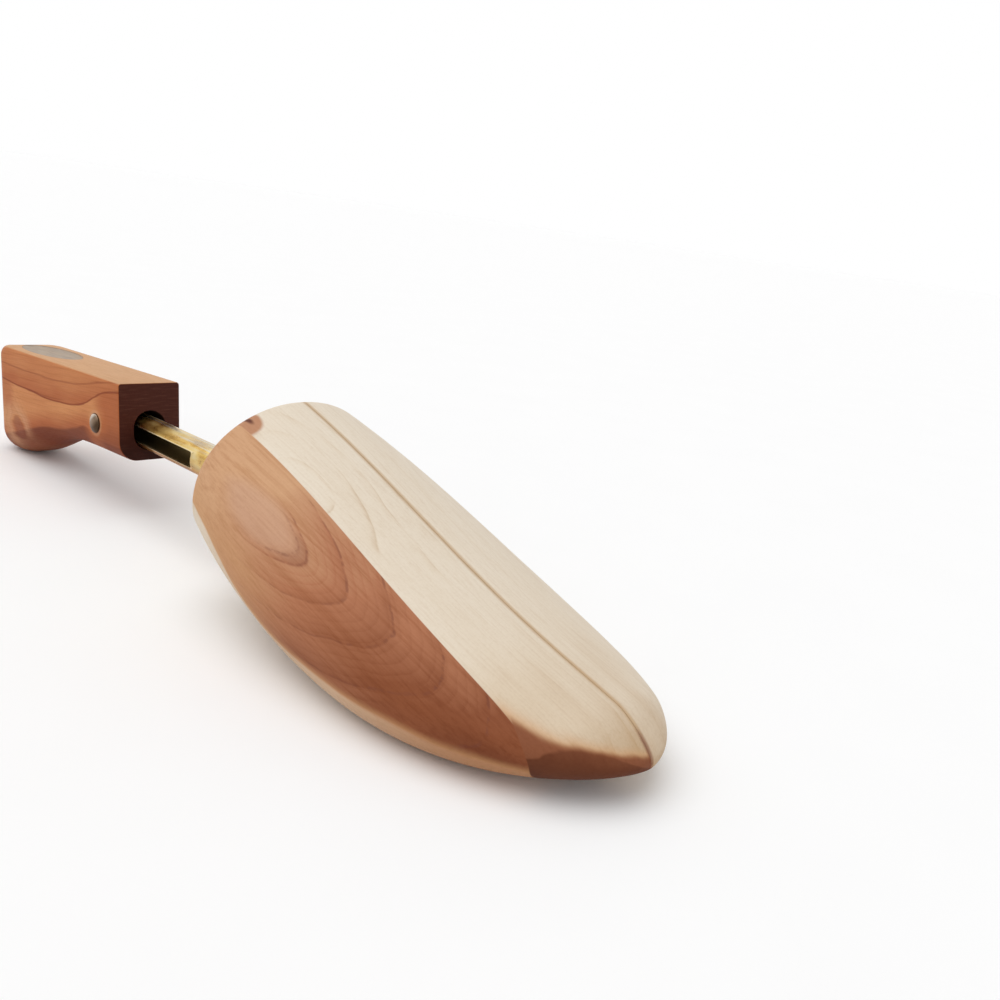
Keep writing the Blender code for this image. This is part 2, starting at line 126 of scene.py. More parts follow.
# Tube and its slot
TUBE_DIAMETER = 0.0125
TUBE_WALL = 0.0009
TUBE_NOSE = 0.006
TUBE_EXPOSED = 0.0806
TUBE_TAIL = 0.0085
TUBE_LIP = 0.00018
TUBE_LIP_ANGLE = radians(50.0)
TUBE_LIP_STEPS = 2
TUBE_PAST_SHARE = 0.1
SLOT_WIDTH = 0.006
SLOT_REACH = 0.0391
SLOT_CORNER_SHARE = 0.25

# Heel block, measured from its front face and from the bore's axis
HEEL_LENGTH = 0.114
HEEL_HALF_WIDTH = 0.0125
HEEL_TOP = 0.0172
HEEL_TOP_SLOPE = radians(3.2)
HEEL_FRONT_DROP = 0.0125
HEEL_WAIST_DROP = 0.0113
HEEL_WAIST_X = 0.046
HEEL_BULGE_X = 0.101
HEEL_BACK_RISE = 0.0016
HEEL_BACK_UNDER = 0.0085
HEEL_BACK_RADIUS = 0.0108
HEEL_EDGE_RADIUS = 0.0012
HEEL_BACK_TOP_ROUND = 0.0068
HEEL_BACK_BLEND = 0.016
HEEL_FRONT_EASE = 0.0004
HEEL_BACK_EDGE_REACH = 0.010
HEEL_BACK_EDGE_DROP = 0.0062
HEEL_FRONT_ROUND = 0.0075
HEEL_UNDER_ROUND = 0.0100
HEEL_UNDER_SHARE = 0.9
HEEL_DROOP = radians(6.0)

# Domed nail through the heel's right side into the tube's slot
PIN_SETBACK = 0.0188
PIN_DIAMETER = 0.0045
PIN_HEAD_DIAMETER = 0.0072
PIN_HEAD_HEIGHT = 0.0012
PIN_RIM = 0.0002
PIN_CROWN_SHARE = 0.02
PIN_DOME_POWER = 2.2
PIN_TIP_GAP = 0.0012

# Compression spring behind the tube
SPRING_WIRE = 0.0014
SPRING_DIAMETER = 0.0118
SPRING_LENGTH = 0.055
SPRING_TURNS = 12
SPRING_FRONT_GAP = 0.0009

# Oval label let into the heel's top
LABEL_LENGTH = 0.045
LABEL_WIDTH = 0.017
LABEL_THICKNESS = 0.0005
LABEL_SETBACK = 0.0315
LABEL_RIM = 0.0007
LABEL_BEVEL = 0.3
LABEL_FIELD_MARGIN = 1.6
LABEL_FIELD_DEPTH = 0.42

# Clearances
SWING_CLEARANCE = 0.0004
RUNNING_CLEARANCE = 0.0001
SEAT_GAP = 0.0003

# Facets
ROUND_SIDES = 64
WIRE_SIDES = 14
CURL_POINTS = 24
TOE_STATIONS = 84
CROWN_STEPS = 28
SOLE_STEPS = 22
SEAM_STEPS = 4
HEEL_STATIONS = 64
HEEL_BACK_STEPS = 18
HEEL_EDGE_STEPS = 10
HEEL_UNDER_STEPS = 18
BEND_STEPS = 10
EDGE_STEPS = 10
SMOOTH_ANGLE = radians(32.0)

# What follows from these sizes
TUBE_RADIUS = TUBE_DIAMETER / 2
PIN_X = PIVOT_SETBACK - TUBE_EXPOSED - PIN_SETBACK
TUBE_REAR_X = PIN_X - TUBE_TAIL
SLOT_FRONT_X = PIN_X + PIN_SETBACK + SLOT_REACH
BORE_RADIUS = TUBE_RADIUS + SWING_CLEARANCE
MM = 1000.0
BORE_END = MM * (PIN_SETBACK + TUBE_TAIL + SPRING_LENGTH + 2 * SEAT_GAP)
OWN_PLACE = "own_place"
TOE_FORWARD = (cos(TOE_PITCH), 0.0, -sin(TOE_PITCH))
HEEL_FORWARD = (cos(HEEL_DROOP), 0.0, sin(HEEL_DROOP))
HEEL_UP = (-sin(HEEL_DROOP), 0.0, cos(HEEL_DROOP))

# World, floor and lamps: name, place, spread in degrees and power
WORLD_LIGHT = 0.58
FLOOR_REACH = 30.0
FLOOR_ROUGHNESS = 0.9
FLOOR_WHITE = ((0.0, (0.95, 0.95, 0.95)), (1.0, (0.97, 0.97, 0.97)))
LAMPS = (
    ("key", (-0.25, -0.35, 1.30), 70.0, 1.30),
    ("fill", (0.90, -0.90, 0.60), 60.0, 0.30),
)

# Sockets of a mix node that mixes colours
MIX_INPUTS = (0, 6, 7)
MIX_OUTPUT = 2

# Finish of all the wood
WOOD_SPECULAR = 0.12
WOOD_BUMP = 0.15
WOOD_BUMP_DEPTH = 0.0002
WOOD_SPECKLE = (0.96, 0.95, 0.93)
PALE_STREAKS = (0.93, 0.90, 0.87)
RED_STREAKS = (0.86, 0.80, 0.75)

# Colours of the toe; ramps run from light to dark, apart from the chin's
CREAM = ((0.0, (0.790, 0.705, 0.590)), (0.5, (0.735, 0.630, 0.500)), (1.0, (0.540, 0.385, 0.240)))
RED = ((0.0, (0.610, 0.350, 0.195)), (0.5, (0.420, 0.170, 0.086)), (1.0, (0.242, 0.075, 0.030)))
CHIN = ((0.0, (0.080, 0.022, 0.008)), (0.6, (0.135, 0.039, 0.015)), (1.0, (0.235, 0.080, 0.036)))
RED_STRIPES = (0.86, 0.79, 0.72)
RED_FORE = (0.74, 0.66, 0.61)
RING_PURPLE = (0.150, 0.048, 0.034)
GOLDEN = (0.590, 0.320, 0.145)
PINKISH = (0.565, 0.335, 0.225)
CORNER_RED = (0.48, 0.240, 0.135)
CORNER_KNOT = (0.13, 0.040, 0.024)
# Painted shade above the chin
CHIN_PAINTED_SHADE = (0.87, 0.79, 0.67)
STRIP_TAN = (0.600, 0.420, 0.280)
STRIP_BROWN = (0.420, 0.210, 0.105)
# Painted shadow of the seam's gap, darker at the nose
SEAM_PAINTED_SHADOW = (0.49, 0.310, 0.150)
SEAM_NOSE_PAINTED_SHADOW = (0.20, 0.045, 0.012)
RIGHT_END_GRAIN = (0.90, 0.84, 0.77)
LEFT_END_GRAIN = (0.88, 0.81, 0.72)

# Growth loops of the sapwood, rings of the heartwood and the glue line between the boards
RIGHT_LOOPS = (38.0, -22.5)
LEFT_LOOPS = (66.0, 21.0)
LOOP_REACH = 12.0
LOOP_SOFTNESS = 8.0
LOOPS_PER_MM = 0.17
RING_MIDDLE = 37.0
RING_NARROWING = 3.2
RING_POWER = 1.7
RING_FIRST = 24.0
RING_SPACING = 17.5
FINE_RINGS = 4.3
GLUE_SLOPE = 0.027
GLUE_SIDE = 22.0

# Broad darker and lighter areas of the red flank: tone, then where they come in up the
# flank and along it, and where they go out along it
RED_AREAS = (
    (0.15, (31.0, 36.0), (28.0, 44.0), (80.0, 66.0)),
    (-0.13, (25.0, 19.0), (26.0, 42.0), (112.0, 98.0)),
    (-0.22, (29.0, 34.0), (86.0, 98.0), (132.0, 122.0)),
)

# Colours of the heel, and its knot
HEEL_RED = (
    (0.0, (0.625, 0.272, 0.102)),
    (0.42, (0.420, 0.122, 0.038)),
    (1.0, (0.175, 0.037, 0.012)),
)
RING_BROWN = (0.210, 0.036, 0.007)
FINE_LINES_PER_MM = 0.42
HALO_TAN = (0.590, 0.310, 0.165)
EYE_BROWN = (0.24, 0.075, 0.040)
NAIL_PALE = (0.60, 0.33, 0.18)
# Painted shadow of a gap round the nail's head
NAIL_GAP_PAINTED_SHADOW = (0.050, 0.018, 0.010)
# Painted light on the heel's upward-facing top
TOP_PAINTED_LIGHT = (0.665, 0.420, 0.225)
FRONT_DARK = (0.060, 0.014, 0.008)
FRONT_SCRATCH = (0.100, 0.033, 0.021)
# Painted shade low on the heel's front face
FRONT_PAINTED_SHADE = (0.45, 0.36, 0.32)
# Painted shade inside the bore
BORE_PAINTED_SHADE = (0.020, 0.009, 0.006)
KNOT_BACK = 88.5
KNOT_DROP = 10.8
KNOT_LEAN = (0.70, 0.714)
KNOT_LENGTH = 9.0
KNOT_WIDTH = 3.6

# Colours of the metals and of the label
PLATING = (
    (0.30, (0.36, 0.190, 0.040)),
    (0.46, (0.60, 0.370, 0.095)),
    (0.60, (0.74, 0.535, 0.190)),
    (0.80, (0.80, 0.665, 0.370)),
)
# Painted highlight along the tube's top
PLATING_TOP_PAINTED_HIGHLIGHT = (0.63, 0.610, 0.530)
PLATING_SPECKS = (0.50, 0.43, 0.33)
# Painted brown reflection on the tube's underside
PLATING_UNDER_PAINTED_REFLECTION = (0.82, 0.52, 0.26)
# Painted highlight on the slot's lips
PLATING_LIP_HIGHLIGHT = (0.86, 0.720, 0.460)
PLATING_INSIDE = (0.30, 0.215, 0.100)
WIRE_STEEL = (0.62, 0.57, 0.47)
COIL_STEEL = (0.52, 0.51, 0.50)
GUIDE_STEEL = (0.56, 0.55, 0.53)
NAIL_STEEL = (0.27, 0.185, 0.125)
# Painted highlight and painted shade on the nail's head, set by which way it faces
NAIL_PAINTED_HIGHLIGHT = (0.62, 0.56, 0.48)
NAIL_PAINTED_SHADE = (0.30, 0.26, 0.22)
NAIL_LIT_DIRECTION = (-0.75, 0.0, 0.66)
STAIN_SHARE = 0.55
FOIL = ((0.30, (0.252, 0.178, 0.118)), (0.50, (0.311, 0.224, 0.150)), (0.70, (0.365, 0.269, 0.185)))
FOIL_SCUFF = (0.455, 0.360, 0.266)
FOIL_SHADE = (0.82, 0.78, 0.73)

# Lines across the wood, as points in millimetres along one measure and the other
TOE_REACH = (0.0, 160.0)
TOE_SPAN = (0.0, 40.0)
STRIP_LINE = (
    (0, 14.8), (9, 14.5), (17, 13.8), (28, 11.6), (40, 8.4), (50, 7.2), (60, 7.7), (68, 8.9),
    (94, 14.0), (111, 17.8), (122, 20.3), (134, 23.3), (141, 25.3), (160, 31.0),
)
CHIN_REACH = (-34.0, 4.0)
CHIN_SPAN = (20.0, 40.0)
CHIN_LINE = (
    (-34, 32.9), (-25.4, 33.4), (-22.4, 33.6), (-17.1, 34.6), (-13.4, 34.8), (-9.2, 34.7),
    (-2.6, 33.9), (4, 31.8),
)
# Edge of the painted light on the nose's upper facet
LIT_FACET_LINE = (
    (-34, 24.4), (-24.9, 30.0), (-23.6, 31.6), (-22, 32.8), (-19.9, 33.8), (-17.6, 34.5),
    (-14.8, 34.9), (-11.7, 34.8), (-9.2, 34.2), (-2.6, 32.2), (4, 30.0),
)
JOINT_REACH = (16.0, 40.0)
JOINT_SPAN = (100.0, 160.0)
JOINT_LINE = (
    (16, 142.4), (23.3, 141.9), (28.7, 140.2), (31.4, 136.8), (33.3, 132.2), (36, 124.0),
    (40, 112.0),
)
HEEL_REACH = (-10.0, 120.0)
HEEL_SPAN = (-30.0, 30.0)
UPPER_LINE = ((-10, 18.5), (8, 16.9), (39, 13.5), (75, 13.9), (104, 15.7), (120, 17.0))
SWOOP_LINE = (
    (-10, 13.9), (9, 13.0), (16, 11.2), (30, 6.3), (52, 4.5), (75, 5.9), (104, 8.7), (120, 10.0),
)
LOWER_LINE = (
    (-10, -6.6), (15, -6.2), (22, -4.6), (27, -2.2), (34.8, -3.7), (39, -4.4), (49.6, -6.3),
    (64, -7.4), (75.3, -9.4), (95, -14.0), (120, -18.0),
)

ToePlaces = namedtuple("ToePlaces", "place x y z wave ripple")


def new_object(name, vertices, faces, place):
    mesh = bpy.data.meshes.new(name)
    mesh.from_pydata([tuple(v) for v in vertices], [], faces)
    obj = bpy.data.objects.new(name, mesh)
    bpy.context.scene.collection.objects.link(obj)
    obj.matrix_world = place
    return obj


def settle(obj, bodies=()):
    """Cuts bodies out of the object, in its own coordinates."""
    cutters = [new_object("cutter", *body, obj.matrix_world) for body in bodies]
    for cutter in cutters:
        modifier = obj.modifiers.new("cut", "BOOLEAN")
        modifier.operation = "DIFFERENCE"
        modifier.solver = "EXACT"
        modifier.object = cutter
    bpy.context.view_layer.update()
    graph = bpy.context.evaluated_depsgraph_get()
    mesh = bpy.data.meshes.new_from_object(obj.evaluated_get(graph))
    obj.modifiers.clear()
    obj.data = mesh
    for cutter in cutters:
        bpy.data.objects.remove(cutter, do_unlink=True)


def finish_piece(obj, material, body, slot, *nodes):
    """Smooths, paints and rides a piece, and hides the nodes that it stands for.

    The piece's own coordinates stay in an attribute, for its grain."""
    mesh = obj.data
    own = np.empty(3 * len(mesh.vertices), np.float32)
    mesh.vertices.foreach_get("co", own)
    mesh.attributes.new(OWN_PLACE, "FLOAT_VECTOR", "POINT").data.foreach_set("vector", MM * own)
    mesh.transform(obj.matrix_world)
    obj.matrix_world = Matrix.Identity(4)
    obj.data.materials.clear()
    obj.data.materials.append(material)
    obj.data.shade_smooth()
    obj.data.set_sharp_from_angle(angle=SMOOTH_ANGLE)
    if body:
        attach(obj, body)
    if nodes:
        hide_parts(*nodes)


def loft(rings):
    """Vertices and faces of a closed body through rings of equal length."""
    count = len(rings[0])
    vertices = [point for ring in rings for point in ring]
    faces = [tuple(range(count - 1, -1, -1))]
    for start in range(0, (len(rings) - 1) * count, count):
        for i in range(count):
            j = (i + 1) % count
            faces.append((start + i, start + j, start + count + j, start + count + i))
    last = (len(rings) - 1) * count
    faces.append(tuple(range(last, last + count)))
    return vertices, faces


def circle(centre, across, up, radius, sides):
    angles = [2 * pi * i / sides for i in range(sides)]
    return [centre + radius * (cos(a) * across + sin(a) * up) for a in angles]


def rod(start, end, radii, sides=ROUND_SIDES):
    """A turned body from start to end; radii are pairs of (distance along, radius)."""
    start, end = Vector(start), Vector(end)
    along = (end - start).normalized()
    across = along.orthogonal().normalized()
    up = along.cross(across)
    return loft([circle(start + s * along, across, up, r, sides) for s, r in radii])


def plain_rod(start, end, radius, sides=ROUND_SIDES):
    length = (Vector(end) - Vector(start)).length
    return rod(start, end, ((0.0, radius), (length, radius)), sides)


def swept_tube(points, radius, sides):
    points = [Vector(p) for p in points]
    ends = zip([points[0]] + points[:-1], points[1:] + [points[-1]])
    tangents = [(after - before).normalized() for before, after in ends]
    across = tangents[0].orthogonal().normalized()
    rings = []
    for point, tangent in zip(points, tangents):
        across = (across - across.dot(tangent) * tangent).normalized()
        rings.append(circle(point, across, tangent.cross(across), radius, sides))
    return loft(rings)


def swing_bore(stations, radius, lowest, highest, headroom=0.0):
    """A bore along X for a round bar that tilts about the origin from lowest to highest."""
    rings = []
    for x in stations:
        offsets = sorted((x * tan(lowest), x * tan(highest)))
        low, high = offsets[0] - RUNNING_CLEARANCE, offsets[1] + RUNNING_CLEARANCE
        high = max(high, headroom)
        ring = []
        for i in range(ROUND_SIDES):
            angle = 2 * pi * (i + 0.5) / ROUND_SIDES
            centre = high if angle < pi else low
            ring.append(Vector((x, radius * cos(angle), centre + radius * sin(angle))))
        rings.append(ring)
    return loft(rings)


def round_inset(distance, radius):
    reach = max(0.0, radius - distance)
    return radius - sqrt(radius**2 - reach**2)


def ease(share):
    return 0.5 - 0.5 * cos(pi * min(1.0, max(0.0, share)))


def quarter(steps, first=0):
    """Angles of a quarter turn in equal steps, from the first one to the whole turn."""
    return [0.5 * pi * i / steps for i in range(first, steps + 1)]


def toe_half_width(x):
    if x < TOE_BALL_X:
        gain = TOE_BALL_HALF_WIDTH - TOE_REAR_HALF_WIDTH
        return TOE_BALL_HALF_WIDTH - gain * ((TOE_BALL_X - x) / TOE_BALL_X) ** 2
    share = (x - TOE_BALL_X) / (TOE_LENGTH - TOE_BALL_X)
    return TOE_BALL_HALF_WIDTH * (1.0 - share**TOE_NOSE_POWER) ** TOE_NOSE_ROUND


def toe_sole(x):
    if x < TOE_LOWEST_X:
        return TOE_REAR_RISE * ((TOE_LOWEST_X - x) / TOE_LOWEST_X) ** 2
    share = (x - TOE_LOWEST_X) / (TOE_LENGTH - TOE_LOWEST_X)
    return TOE_TIP_HEIGHT * share**TOE_ROCKER_POWER


def toe_top(x):
    top = TOE_REAR_HEIGHT + (TOE_FRONT_HEIGHT - TOE_REAR_HEIGHT) * ease(x / TOE_LEVEL_X)
    nose = max(0.0, x - TOE_LENGTH + TOE_NOSE_LENGTH) / TOE_NOSE_LENGTH
    return toe_sole(x) + (top - toe_sole(x)) * sqrt(1.0 - nose**2)


def toe_section(x):
    """Half of the toe's outline across the foot, with eased edges at the seam."""
    inset = round_inset(x, TOE_REAR_EDGE_RADIUS)
    width = toe_half_width(x) - inset
    top, sole = toe_top(x) - inset, toe_sole(x) + inset
    girth = sole + TOE_GIRTH_SHARE * (top - sole)
    seam = TOE_SEAM_GAP / 2
    edge = min(TOE_SEAM_EASE, TOE_SEAM_EASE_SHARE * min(width, top - sole))
    turns = quarter(SEAM_STEPS)
    outline = [(edge * (1 - cos(t)), top - edge * (1 - sin(t))) for t in turns]
    for turn in quarter(CROWN_STEPS, 1):
        rise = max(0.0, cos(turn)) ** TOE_CROWN_POWER
        y = edge + (width - edge) * sin(turn)
        outline.append((y, girth + (top - girth) * rise))
    for turn in quarter(SOLE_STEPS, 1):
        share = max(0.0, cos(turn)) ** TOE_SOLE_POWER
        y = width * (TOE_SOLE_SHARE + (1 - TOE_SOLE_SHARE) * share)
        outline.append((y, girth - (girth - sole) * sin(turn) ** TOE_SOLE_POWER))
    for turn in reversed(turns):
        outline.append((edge * (1 - cos(turn)), sole + edge * (1 - sin(turn))))
    return [(seam + y * (1 - seam / width), z) for y, z in outline]


def toe_stations():
    rear = [TOE_REAR_EDGE_RADIUS * (1 - cos(turn)) for turn in quarter(EDGE_STEPS)[:-1]]
    turns = np.linspace(0.0, 0.5 * pi, TOE_STATIONS)[:-1]
    reach = TOE_LENGTH - TOE_REAR_EDGE_RADIUS
    return rear + [TOE_REAR_EDGE_RADIUS + reach * sin(turn) for turn in turns]


def toe_wire_route(side):
    """The wire's run out of the tube's side, back round its loop and forward into one half."""
    out = TUBE_RADIUS + TOE_WIRE_OFFSET
    bend, loop = TOE_WIRE_BEND, TOE_WIRE_LOOP
    route = [Vector((0.0, side * RUNNING_CLEARANCE, 0.0)), Vector((0.0, side * (out - bend), 0.0))]
    for turn in quarter(BEND_STEPS, 1):
        y = out - bend * (1 - sin(turn))
        route.append(Vector((-bend * (1 - cos(turn)), side * y, 0.0)))
    for half_turn in quarter(2 * BEND_STEPS, 1):
        turn = 2 * half_turn
        x, z = -bend - loop * sin(turn), -loop * (1 - cos(turn))
        route.append(Vector((x, side * out, z)))
    route.append(Vector((TOE_WIRE_LEG, side * out, -2 * loop)))
    return route


def make_toe_half(name, side, place, material, body, slot, node):
    rings = []
    for x in toe_stations():
        along = x + PIVOT_SETBACK
        points = [Vector((along, side * y, z - PIVOT_HEIGHT)) for y, z in toe_section(x)]
        rings.append(points if side < 0 else points[::-1])
    half = new_object(name, *loft(rings), place)
    depth = TUBE_NOSE + TUBE_RADIUS * sin(TOE_PITCH) + 2 * SWING_CLEARANCE
    swing = TOE_PITCH - TOE_RISE, TOE_PITCH
    bore = swing_bore((-TUBE_NOSE, 0.0, depth), BORE_RADIUS, *swing, TOE_SLOT_HEADROOM)
    leg = toe_wire_route(side)[-2:]
    leg[1] += (leg[1] - leg[0]).normalized() * SEAT_GAP
    bodies = [bore, plain_rod(*leg, TOE_WIRE_DIAMETER / 2 + RUNNING_CLEARANCE, ROUND_SIDES // 2)]
    for pin_x, pin_z in GUIDE_PINS:
        x, z = pin_x + PIVOT_SETBACK, pin_z - PIVOT_HEIGHT
        ends = sorted((side * (GUIDE_PIN_DEPTH + SEAT_GAP), -side * GUIDE_PIN_DIAMETER))
        radius = GUIDE_PIN_DIAMETER / 2 + RUNNING_CLEARANCE
        bodies.append(plain_rod((x, ends[0], z), (x, ends[1], z), radius))
    settle(half, bodies)
    finish_piece(half, material, body, slot, node)


def make_toe_wire(name, side, place, material):
    body = swept_tube(toe_wire_route(side), TOE_WIRE_DIAMETER / 2, WIRE_SIDES)
    wire = new_object(name, *body, place)
    finish_piece(wire, material, None, "spring_wire", "toe_spring_wire")
    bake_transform(wire)


def heel_bottom(x, bulge):
    if x < HEEL_WAIST_X:
        gain = HEEL_FRONT_DROP - HEEL_WAIST_DROP
        return HEEL_WAIST_DROP + gain * ((HEEL_WAIST_X - x) / HEEL_WAIST_X) ** 2
    if x < HEEL_BULGE_X:
        return HEEL_WAIST_DROP + bulge * ease((x - HEEL_WAIST_X) / (HEEL_BULGE_X - HEEL_WAIST_X))
    back = (x - HEEL_BULGE_X) / (HEEL_LENGTH - HEEL_BULGE_X)
    rise = HEEL_BACK_RISE * back**2 + round_inset(HEEL_LENGTH - x, HEEL_BACK_UNDER)
    return HEEL_WAIST_DROP + bulge - rise


def heel_stations():
    front = [HEEL_FRONT_EASE * (1 - cos(turn)) for turn in quarter(EDGE_STEPS)[:-1]]
    straight = HEEL_LENGTH - HEEL_BACK_RADIUS
    turns = quarter(HEEL_BACK_STEPS, 1)
    back = [straight + HEEL_BACK_RADIUS * sin(turn) for turn in turns]
    return front + list(np.linspace(HEEL_FRONT_EASE, straight, HEEL_STATIONS)) + back


def heel_bulge(height):
    """Depth of the heel's bulge that lets the drooping heel touch the ground."""
    depths = []
    for x in heel_stations():
        start, unit = heel_bottom(x, 0.0), heel_bottom(x, 1.0) - heel_bottom(x, 0.0)
        if unit > 0:
            sunk = (x - PIN_SETBACK) * sin(HEEL_DROOP) + start * cos(HEEL_DROOP)
            depths.append((height - sunk) / (unit * cos(HEEL_DROOP)))
    return min(depths)


def heel_section(x, bulge):
    front = round_inset(x, HEEL_FRONT_EASE)
    width = HEEL_HALF_WIDTH - round_inset(HEEL_LENGTH - x, HEEL_BACK_RADIUS) - front
    edge = round_inset(HEEL_LENGTH - x, HEEL_BACK_EDGE_REACH) / HEEL_BACK_EDGE_REACH
    top = HEEL_TOP + x * tan(HEEL_TOP_SLOPE) - HEEL_BACK_EDGE_DROP * edge - front
    under = HEEL_FRONT_ROUND + (HEEL_UNDER_ROUND - HEEL_FRONT_ROUND) * ease(x / HEEL_WAIST_X)
    across = min(under, HEEL_UNDER_SHARE * width)
    under -= round_inset(HEEL_LENGTH - x, HEEL_BACK_UNDER)
    bottom = front - heel_bottom(x, bulge)
    blend = ease((x - HEEL_LENGTH + HEEL_BACK_BLEND) / HEEL_BACK_BLEND)
    corner = HEEL_EDGE_RADIUS + (HEEL_BACK_TOP_ROUND - HEEL_EDGE_RADIUS) * blend
    right = []
    for turn in quarter(HEEL_EDGE_STEPS - 1):
        y = width - min(corner, HEEL_UNDER_SHARE * width) * (1 - sin(turn))
        right.append((y, top - corner * (1 - cos(turn))))
    for turn in quarter(HEEL_UNDER_STEPS):
        y = width - across * (1 - cos(turn))
        right.append((y, bottom + under * (1 - sin(turn))))
    return right + [(-y, z) for y, z in reversed(right)]


def label_rings(profile):
    """Ovals on the heel's sloping top; profile is pairs of (margin, height)."""
    along = Vector((-cos(HEEL_TOP_SLOPE), 0.0, sin(HEEL_TOP_SLOPE)))
    normal = Vector((sin(HEEL_TOP_SLOPE), 0.0, cos(HEEL_TOP_SLOPE)))
    across = Vector((0.0, 1.0, 0.0))
    back = HEEL_LENGTH - LABEL_SETBACK
    centre = Vector((PIN_SETBACK - back, 0.0, HEEL_TOP + back * tan(HEEL_TOP_SLOPE)))
    rings = []
    for margin, height in profile:
        axes = -(LABEL_LENGTH / 2 + margin) * along, (LABEL_WIDTH / 2 + margin) * across
        rings.append(circle(centre + height * normal, *axes, 1.0, ROUND_SIDES))
    return rings


def make_heel(place, height, material):
    bulge = heel_bulge(height)
    rings = []
    for x in heel_stations():
        rings.append([Vector((PIN_SETBACK - x, y, z)) for y, z in heel_section(x, bulge)])
    heel = new_object("heel_wood", *loft(rings), place)
    end = -TUBE_TAIL - SPRING_LENGTH - 2 * SEAT_GAP
    stations = (end, -RUNNING_CLEARANCE, RUNNING_CLEARANCE, PIN_SETBACK + TUBE_DIAMETER)
    bore = swing_bore(stations, BORE_RADIUS, -HEEL_DROOP, 0.0)
    hole = plain_rod((0, -2 * HEEL_HALF_WIDTH, 0), (0, 0, 0), PIN_DIAMETER / 2 + RUNNING_CLEARANCE)
    depth = LABEL_THICKNESS + SEAT_GAP
    recess = loft(label_rings(((RUNNING_CLEARANCE, -depth), (RUNNING_CLEARANCE, depth))))
    settle(heel, (bore, hole, recess))
    finish_piece(heel, material, "heel", "cedar_heel", "heel_block")


def make_label(place, material):
    """A thin oval plate with a rolled rim round a slightly sunk field."""
    low, rim, bevel = -LABEL_THICKNESS, LABEL_RIM, LABEL_BEVEL
    profile = [(-bevel * rim, low), (0.0, (1 - bevel) * low), (0.0, bevel * low)]
    for half_turn in quarter(EDGE_STEPS):
        turn = 2 * half_turn
        profile.append((-rim * (1 - cos(turn)) / 2, bevel * low * (1 - sin(turn))))
    profile.append((-LABEL_FIELD_MARGIN * rim, LABEL_FIELD_DEPTH * low))
    label = new_object("label_oval", *loft(label_rings(profile)), place)
    finish_piece(label, material, "heel", "label_foil", "heel_label")


def make_tube(place, material):
    """The plated tube: rolled ends, a through bore, the nail's slot and the wire's hole."""
    lip, inner = TUBE_LIP, TUBE_RADIUS - TUBE_WALL
    length = TUBE_NOSE - TUBE_REAR_X
    turns = quarter(EDGE_STEPS)
    rear = []
    for turn in reversed(turns):
        rear.append((lip * (1 - sin(turn)), TUBE_RADIUS - lip * (1 - cos(turn))))
    front = [(length - s, radius) for s, radius in reversed(rear)]
    start, end = (TUBE_REAR_X, 0, 0), (TUBE_NOSE, 0, 0)
    tube = new_object("plated_tube", *rod(start, end, rear + front), place)
    past = TUBE_PAST_SHARE * length
    bore = plain_rod((TUBE_REAR_X - past, 0, 0), (TUBE_NOSE + past, 0, 0), inner)
    slot_rear = PIN_X - PIN_DIAMETER / 2 - RUNNING_CLEARANCE
    half = SLOT_WIDTH / 2
    corner = SLOT_CORNER_SHARE * SLOT_WIDTH
    outline = [(slot_rear, -half)]
    for turn in turns:
        x = SLOT_FRONT_X - corner * (1 - sin(turn))
        outline.append((x, -half + corner * (1 - cos(turn))))
    outline += [(x, -z) for x, z in reversed(outline)]
    rings = [[Vector((x, y, z)) for x, z in outline] for y in (0.0, -TUBE_DIAMETER)]
    hole = TOE_WIRE_DIAMETER / 2 + SEAT_GAP
    cross = plain_rod((0, -TUBE_DIAMETER, 0), (0, TUBE_DIAMETER, 0), hole, ROUND_SIDES // 2)
    settle(tube, (bore, loft(rings), cross))
    modifier = tube.modifiers.new("lips", "BEVEL")
    modifier.limit_method = "ANGLE"
    modifier.angle_limit = TUBE_LIP_ANGLE
    modifier.width = TUBE_LIP
    modifier.segments = TUBE_LIP_STEPS
    settle(tube)
    finish_piece(tube, material, "tube", "plated_tube", "tube")


def make_nail(place, material):
    """A nail with a shallow domed head, a rolled rim and a blunt tip."""
    radius, head = PIN_DIAMETER / 2, PIN_HEAD_DIAMETER / 2
    start = -HEEL_HALF_WIDTH - SEAT_GAP - PIN_HEAD_HEIGHT
    end = TUBE_RADIUS - TUBE_WALL - PIN_TIP_GAP
    length = end - start
    dome = PIN_HEAD_HEIGHT - PIN_RIM
    radii = [(0.0, PIN_CROWN_SHARE * head)]
    for i in range(1, EDGE_STEPS + 1):
        share = i / EDGE_STEPS
        radii.append((dome * share**PIN_DOME_POWER, head * share))
    radii += [(dome + 0.5 * PIN_RIM, head + 0.25 * PIN_RIM), (PIN_HEAD_HEIGHT, head)]
    radii += [(PIN_HEAD_HEIGHT, radius), (length - radius, radius), (length, radius / 2)]
    nail = new_object("domed_nail", *rod((0, start, 0), (0, end, 0), radii), place)
    finish_piece(nail, material, "heel_pin", "nail_steel", "heel_cross_pin")


def make_spring(place, material):
    """A coil of even pitch, in line with the tube behind it."""
    radius = (SPRING_DIAMETER - SPRING_WIRE) / 2
    rear, front = -TUBE_TAIL - SPRING_LENGTH, -TUBE_TAIL - SPRING_FRONT_GAP
    run = front - rear - SPRING_WIRE
    count = SPRING_TURNS * CURL_POINTS
    points = []
    for i in range(count + 1):
        turn = 2 * pi * SPRING_TURNS * i / count
        x = rear + SPRING_WIRE / 2 + run * i / count
        points.append(Vector((x, radius * cos(turn), radius * sin(turn))))
    coil = new_object("coil_spring", *swept_tube(points, SPRING_WIRE / 2, WIRE_SIDES), place)
    finish_piece(coil, material, "heel", "coil_steel", "compression_spring")
    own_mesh(coil)


